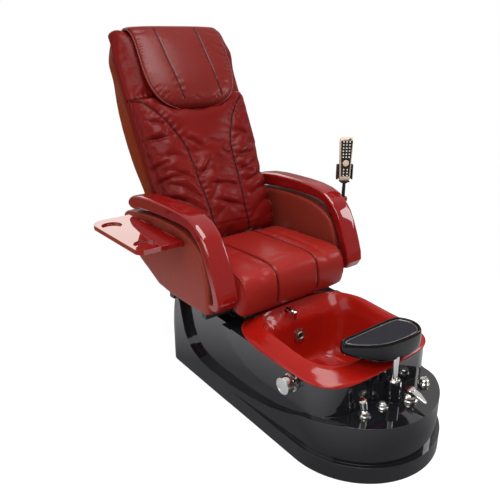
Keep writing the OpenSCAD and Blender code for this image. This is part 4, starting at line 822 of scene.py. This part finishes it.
# %% Tables of the flap
flap_seams = [[(-78, 668), (-90, 760), (-100, 860), (-104, 940), (-106, 1000)],
              [(122, 668), (112, 760), (106, 860), (104, 940), (103, 1000)]]
flap_folds = [
    [(150, 985), (185, 968), (232, 975)], [(158, 930), (190, 905), (232, 896)],
    [(165, 880), (200, 850), (228, 842)], [(140, 735), (175, 722), (214, 742)],
    [(-130, 700), (-160, 690), (-190, 702)], [(-60, 650), (-20, 672), (20, 655)],
    [(172, 800), (202, 790), (224, 800)], [(-160, 985), (-200, 975), (-234, 982)],
    [(60, 648), (90, 668), (112, 655)],
]
flap_edge = [(238, 14, 1020), (240, -40, 1020), (239, -84, 1004), (235, -104, 966), (232, -112, 925),
             (230, -120, 860), (226, -127, 790), (215, -130, 735), (196, -130, 692), (171, -127, 664),
             (138, -121, 646), (98, -111, 634), (52, -100, 628)]
front_edge = [(x, t) for x, _, t in flap_edge[3:]]
front_rim = mirrored_line(front_edge) + front_edge[::-1]
LEFT_TAPER = 0.075  # share by which the left side narrows towards the top
TAPER_UP = (760, 980)
print("folds on the flap:", len(flap_folds))

# %% [markdown]
# The pins hold the flap's edges, rear and seams. Its left side is narrowed afterwards.

# %% Headrest flap
TOP_RISE = 6

flap = merged_copy("flap_leather_pillow", "headrest_flap")
even_net(flap, 7)
relax(flap, 4)
local = to_back(read_points(flap))
from_side = np.interp(local[:, 2], flap_up, flap_half) - np.abs(local[:, 0])
pins = np.maximum(1 - smooth_step(from_side, 4, 22), smooth_step(local[:, 1], -88, -62))
pins = np.maximum(pins, 1 - smooth_step(nearest_line(local[:, [0, 2]], flap_seams), 4, 14))
inflate(flap, pins, 7, pressure=4.0, spare=0.0, bend=10.0)
relax(flap, 2)
subdivide(flap)
local = to_back(read_points(flap))
flat = local[:, [0, 2]]
crease(flap, flat, flap_folds, local[:, 1] < -95, depth=1.2, width=8)
gather(flap, flat, [front_rim], local[:, 1] < -80, pitch_mm=24, height_mm=1.3, reach_mm=24)
gather(flap, flat, flap_seams, local[:, 1] < -92, pitch_mm=31, height_mm=0.7, reach_mm=20)
local = to_back(read_points(flap))
local[:, 0] *= 1 - LEFT_TAPER*smooth_step(local[:, 2], *TAPER_UP)*(local[:, 0] < 0)
local[:, 2] += TOP_RISE*smooth_step(local[:, 2], 960, 1020)
write_points(flap, from_back(local))
from_seam = np.where(local[:, 1] < -92, nearest_line(local[:, [0, 2]], flap_seams), FAR)
sew(flap, from_seam, depth=2.2, width=3.5)
# Painted shade along the flap's seams.
store_painted_shade(flap, from_seam)
dress(flap, "headrest_flap", flap_leather)
print("flap:", len(flap.data.polygons), "faces")

# %% [markdown]
# The piping follows the edge table down both sides.

# %% Thread and piping of the flap
def tapered(x, up):
    return -x*(1 - LEFT_TAPER*np.clip((up - TAPER_UP[0])/(TAPER_UP[1] - TAPER_UP[0]), 0, 1))


for label, line in zip(("left", "right"), flap_seams):
    tube("flap_seam_" + label, front_line(flap, line, -0.2), 1.0, thread_leather, "back")
edge = [(tapered(x, t), n, t) for x, n, t in flap_edge] + flap_edge[::-1]
tube("flap_piping", from_back(dense(edge, 10)), 3.2, trim_leather, "back")
print("flap trimmed")

# %% [markdown]
# ## Seat cushion and side panels
#
# The seat rolls over its front edge in one sweep, with two seams that leave its middle slightly sunk. Its
# front lip hangs low and is wider. The side panels fill the space under the arms. All numbers are
# millimetres in the part's frame.

# %% Seat cushion
SEAM_X = 105.0
LIP_DROP = 16
LIP_WIDER = 0.05
PINNED_UP = (414, 440)  # heights below which the seat is held
seat_folds = [[(-105, 250), (-150, 262), (-205, 250)], [(-105, 380), (-160, 392), (-225, 378)],
              [(105, 300), (150, 316), (210, 305)], [(-95, 110), (-30, 120), (40, 112)],
              [(105, 120), (160, 108), (215, 116)]]

seat = merged_copy("seat_leather_painted_light", "seat_cushion")
even_net(seat, 8)
relax(seat, 8)
points = read_points(seat)/MM
lip = (1 - smooth_step(points[:, 1], 62, 108))*(1 - smooth_step(points[:, 2], 406, 450))
points[:, 2] -= LIP_DROP*lip
wider = LIP_WIDER*(1 - smooth_step(points[:, 1], 60, 140))*(1 - smooth_step(points[:, 2], 470, 540))
points[:, 0] *= 1 + wider
write_points(seat, points*MM)
from_seam = np.abs(np.abs(points[:, 0]) - SEAM_X)
pins = np.maximum(1 - smooth_step(from_seam, *PINNED_SEAM), 1 - smooth_step(points[:, 2], *PINNED_UP))
inflate(seat, pins, 8, pressure=3.0, spare=0.0, bend=12.0)
relax(seat, 2)
points = read_points(seat)/MM
crease(seat, points[:, :2], seat_folds, points[:, 2] > 545, depth=1.6, width=14)
subdivide(seat)
points = read_points(seat)/MM
from_seam = np.where(points[:, 2] > 425, np.abs(np.abs(points[:, 0]) - SEAM_X), FAR)
sew(seat, from_seam, depth=3.5, width=5.0)
# Painted shade along the seat's seams.
store_painted_shade(seat, from_seam)
dress(seat, "seat_cushion", seat_leather_painted_light)
print("seat cushion:", len(seat.data.polygons), "faces")

# %% [markdown]
# Thread and piping run in planes beside the seat's middle, found by rays that fan out round its core.

# %% Thread and piping of the seat
SEAT_CORE = np.array([0.0, 250.0, 480.0])
PIPING_X = 2.45*SEAM_X
fan = np.radians(np.arange(-8, 150, 1.5))  # from below the front lip round to the rear of the top


def fan_line(piece, x, lift_mm):
    """A line over the seat at one distance from the middle, found by rays from outside towards its core."""
    out = np.column_stack([np.zeros(len(fan)), -np.cos(fan), np.sin(fan)])
    core = SEAT_CORE + np.array([x, 0, 0])
    return cast_on(piece, (core + out*500)*MM, -out, lift_mm)


for label, side in (("left", -1), ("right", 1)):
    tube("seat_seam_" + label, fan_line(seat, side*SEAM_X, -0.3), 1.1, thread_leather, "seat")
    tube("seat_piping_" + label, fan_line(seat, side*PIPING_X, 0.6), 2.8, seat_leather_painted_light, "seat")
print("seat trimmed")

# %% [markdown]
# The side panels are blown up only on their broad faces.

# %% Side panels
for label in ("left", "right"):
    node = "side_panel_" + label
    panel = merged_copy("side_leather_" + label, node)
    even_net(panel, 7)
    relax(panel, 3)
    points = read_points(panel)/MM
    middle = (points.min(0) + points.max(0))/2
    off_middle = np.abs(points[:, 0] - middle[0])
    pins = np.maximum(1 - smooth_step(points[:, 2], 412, 430), smooth_step(off_middle, 30, 38))
    inflate(panel, pins, 5, pressure=2.0, spare=0.0, bend=8.0)
    subdivide(panel)
    store_painted_shade(panel, np.full(len(panel.data.vertices), FAR))
    dress(panel, node, side_leather)
print("side panels done")

# %% [markdown]
# ## Rigid parts
#
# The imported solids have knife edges, which no moulding has. Copies of lofted shells are smoothed by
# subdivision, and those of plain parts get a rounded edge of their own size.

# %% Smooth shells
def smooth_shell(name, node, material, finer=True):
    """Copy of a lofted shell, in squares, and rounded by subdivision where it is asked for."""
    piece = merged_copy(name, node)
    edit_all(piece, bpy.ops.mesh.tris_convert_to_quads, face_threshold=math.radians(60),
             shape_threshold=math.radians(120))
    if finer:
        subdivide(piece)
    shade_smooth(piece, 50)
    return dress(piece, node, material)


smooth_shell("footrest_gloss_shell", "footrest_shell", rest_gelcoat)
foot_pad = smooth_shell("footrest_soft_pad", "footrest_pad", pad_vinyl)
smooth_shell("back_shell_gloss", "back_shell", brown_lacquer)
smooth_shell("remote_case", "remote", beige_plastic, finer=False)
print("smooth shells done")

# %% [markdown]
# The bath's rim isn't level: its rear is drawn back and down under the seat, and its front crest rises.

# %% Bath
REAR_BACK, REAR_DROP, CREST_RISE = 34, 20, 9

bath = smooth_shell("tub_gelcoat", "tub", red_gelcoat)
points = read_points(bath)/MM
rim = smooth_step(points[:, 2], 335, 352)
points[:, 2] -= REAR_DROP*smooth_step(points[:, 1], -90, 60)*rim*smooth_step(points[:, 2], 345, 385)
points[:, 2] += CREST_RISE*(1 - smooth_step(points[:, 1], -330, -180))*rim
points[:, 1] += REAR_BACK*smooth_step(points[:, 1], -60, 80)*rim
write_points(bath, points*MM)
print("bath:", len(bath.data.polygons), "faces")

# %% [markdown]
# A bright satin-chrome ring follows the outline of the footrest's pad. It is a painted highlight, in place
# of the light that the pad's bevelled edge catches.

# %% Footrest highlight ring
PAD_TOP = 436.5  # height above which the pad's outline is taken
HIGHLIGHT_RING_UP = 437.8
HIGHLIGHT_RING_SHARE = 0.985  # its size, as a share of the outline's


def outline_above(piece, height_mm):
    """Convex outline, seen from above, of all that a piece has above a height."""
    points = read_points(piece)/MM
    points = sorted(set(map(tuple, np.round(points[points[:, 2] > height_mm][:, :2], 1))))
    chain = []
    for run in (points, points[::-1]):
        half = []
        for p in run:
            while len(half) > 1 and np.cross(np.subtract(half[-1], half[-2]), np.subtract(p, half[-2])) <= 0:
                half.pop()
            half.append(p)
        chain += half[:-1]
    return chain


ring = outline_above(foot_pad, PAD_TOP)
middle = np.mean(ring, axis=0)
ring = [tuple(middle + (np.array(p) - middle)*HIGHLIGHT_RING_SHARE) for p in ring]
ring = dense([(x, y, HIGHLIGHT_RING_UP) for x, y in ring + ring[:1]], 6)*MM
tube("footrest_highlight_ring", ring, 1.3, satin_chrome, parts["footrest_pad"]["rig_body"])
print("painted highlight ring laid")

# %% [markdown]
# Plain parts get a bevel on their sharp edges. Normals weighted by face area keep their flat faces flat.

# %% Rounded edges
def round_edges(name, node, material, width_mm, steps=2, angle=30):
    piece = merged_copy(name, node)
    edit_all(piece, bpy.ops.mesh.dissolve_limited, angle_limit=math.radians(1))
    bevel = piece.modifiers.new("round", "BEVEL")
    bevel.width = width_mm*MM
    bevel.segments = steps
    bevel.limit_method = "ANGLE"
    bevel.angle_limit = math.radians(angle)
    apply_modifier(piece, bevel)
    shade_smooth(piece, 40)
    flats = piece.modifiers.new("flats", "WEIGHTED_NORMAL")
    flats.mode = "FACE_AREA"
    flats.weight = 80
    flats.keep_sharp = True
    apply_modifier(piece, flats)
    dress(piece, node, material)


round_edges("base_gelcoat", "base_shell", black_gelcoat, 9, 4)
for side in ("left", "right"):
    round_edges("arm_lacquer_" + side, "arm_" + side, wine_lacquer, 6, 3, 25)
round_edges("tray_gloss", "tray", tray_lacquer, 2.5, 3)
round_edges("tray_rail_lacquer", "tray_rail", wine_lacquer, 2)
fittings = """faucet_body button_bezel diverter_base shower_socket footrest_collar drain_ring drain_knob
    faucet_lever diverter_knob hand_shower footrest_post tub_drain fill_spout"""
for node in fittings.split():
    round_edges(node + "_chrome", node, chrome, 1.0)
round_edges("jet_button_face", "jet_button", button_chrome, 1.0)
round_edges("water_jet_face", "water_jet", satin_chrome, 1.0)
round_edges("cradle_moulding", "remote_cradle", black_plastic, 1.5)
round_edges("remote_dial_cap", "remote_dial", beige_plastic, 1.0)
print("edges rounded")

# %% [markdown]
# ## Handset
#
# The handset stands turned on its stalk. A dark keypad plate and a small lamp window lie on its face, with
# outlines in shares of its width and length.

# %% Handset face
STALK = np.array([402.0, 195.0, 796.0])
HANDSET_TURN = math.radians(-36)
HANDSET_W, HANDSET_L, HANDSET_T = 58.0, 186.0, 22.0
PLATE_T, PLATE_PROUD = 0.9, 0.5
keypad = [(-0.31, 0.11), (0.31, 0.11), (0.36, 0.5), (0.42, 0.935), (-0.42, 0.935), (-0.36, 0.5)]
lamp_window = [(0.14, 0.955), (0.32, 0.955), (0.32, 0.985), (0.14, 0.985)]


def on_handset(outline, forward):
    """An outline across and up the handset, at one distance forwards, in the part's frame."""
    across, up = np.array(outline).T*[[HANDSET_W], [HANDSET_L]]
    turn, lean = math.cos(HANDSET_TURN), math.sin(HANDSET_TURN)
    return (np.column_stack([across*turn - forward*lean, across*lean + forward*turn, up]) + STALK)*MM


def flat_plate(name, outline):
    """Thin dark plate on the handset's face, from its outline across and up."""
    count = len(outline)
    front = -HANDSET_T/2 - PLATE_PROUD
    corners = np.vstack([on_handset(outline, front), on_handset(outline, front + PLATE_T)])
    faces = [tuple(range(count)), tuple(range(2*count - 1, count - 1, -1))]
    faces += [(i, count + i, count + (i + 1) % count, (i + 1) % count) for i in range(count)]
    mesh = bpy.data.meshes.new(name)
    mesh.from_pydata([tuple(p) for p in corners], [], faces)
    piece = bpy.data.objects.new(name, mesh)
    scene.collection.objects.link(piece)
    edit_all(piece, bpy.ops.mesh.normals_make_consistent, inside=False)
    mesh.materials.append(black_plastic)
    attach(piece, parts["remote"]["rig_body"])


flat_plate("handset_keypad", keypad)
flat_plate("handset_window", lamp_window)
print("handset face made")

# %% [markdown]
# The lead leaves the cradle beside the stalk, bows out a little and goes into the bracket. The photograph
# shows it from end to end, so its length is the length of its route.

# %% Handset lead
LEAD_R = 2.2
lead_points = [(391, 191, 786), (389, 190, 774), (387, 190, 760), (388, 191, 746), (391, 193, 734),
               (391, 193, 724)]
lead_route = dense(lead_points, 3)*MM
lead = tube("handset_lead", lead_route, LEAD_R, black_rubber, parts["remote_lead"]["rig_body"])
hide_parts("remote_lead")

# %% [markdown]
# ## Floor
#
# To the camera the floor is white, apart from a faint shadow near the chair. Mirror rays see a painted floor
# that glows: a painted shadow, grey, under the chair, near white round it and brown in the distance. Other
# rays meet white paper.

# %% Floor
FADE = (0.85, 1.8)  # metres from the middle over which the shadow fades out
RAMP_REACH = 2.5  # metres that the mirrored floor's ramp spans
OVAL = (1.7, 1.0, 1.0)
PAPER = (0.80, 0.80, 0.80, 1)
FAINT = (0.30, 0.30, 0.30, 1)
FAINT_GLOW = 0.82
# Painted floor for mirror rays: a painted shadow near the middle, then near white, and brown far off.
painted_mirror_floor = [(0.30, (0.22, 0.22, 0.23, 1)), (0.50, (0.80, 0.80, 0.84, 1)), (0.80, (1.0, 0.97, 0.95, 1)),
              (1.0, (0.30, 0.16, 0.10, 1))]


def from_middle(tree, place):
    length = add_node(tree, "ShaderNodeVectorMath", {"operation": "LENGTH", 0: place})
    return length.outputs["Value"]


bpy.ops.object.select_all(action="DESELECT")
bpy.ops.mesh.primitive_plane_add(size=40, location=(0, 0, -0.0005))
floor = bpy.context.object
floor.name = "studio_floor"
floor_white = bpy.data.materials.new("floor_white")
floor_white.use_nodes = True
tree = floor_white.node_tree
tree.nodes.clear()
place = add_node(tree, "ShaderNodeTexCoord").outputs["Object"]
rays = add_node(tree, "ShaderNodeLightPath").outputs
paper = add_node(tree, "ShaderNodeBsdfDiffuse", {"Color": PAPER}).outputs[0]
faint = add_node(tree, "ShaderNodeBsdfDiffuse", {"Color": FAINT}).outputs[0]
glow = add_node(tree, "ShaderNodeEmission", {"Color": WHITE, "Strength": FAINT_GLOW}).outputs[0]
shadowed = add_node(tree, "ShaderNodeAddShader", {0: faint, 1: glow}).outputs[0]
far = add_node(tree, "ShaderNodeEmission", {"Color": WHITE, "Strength": 1.0}).outputs[0]
shown = mix_shaders(tree, scaled(tree, from_middle(tree, place), *FADE), shadowed, far)

stretched = add_node(tree, "ShaderNodeVectorMath", {"operation": "MULTIPLY", 0: place, 1: OVAL}).outputs[0]
reach = maths(tree, "DIVIDE", from_middle(tree, stretched), RAMP_REACH)
ramp = add_node(tree, "ShaderNodeValToRGB", {"Fac": reach})
for position, _ in painted_mirror_floor[2:]:
    ramp.color_ramp.elements.new(position)
for element, (position, colour) in zip(ramp.color_ramp.elements, painted_mirror_floor):
    element.position = position
    element.color = colour
# Painted reflection: mirror rays see the floor glow in the ramp's colours, and no lamp lights it.
mirrored = add_node(tree, "ShaderNodeEmission", {"Strength": 1.0, "Color": ramp.outputs["Color"]})
unseen = mix_shaders(tree, rays["Is Glossy Ray"], paper, mirrored.outputs[0])
surface = mix_shaders(tree, rays["Is Camera Ray"], unseen, shown)
add_node(tree, "ShaderNodeOutputMaterial", {"Surface": surface})
floor.data.materials.append(floor_white)
print("floor:", len(tree.nodes), "nodes")
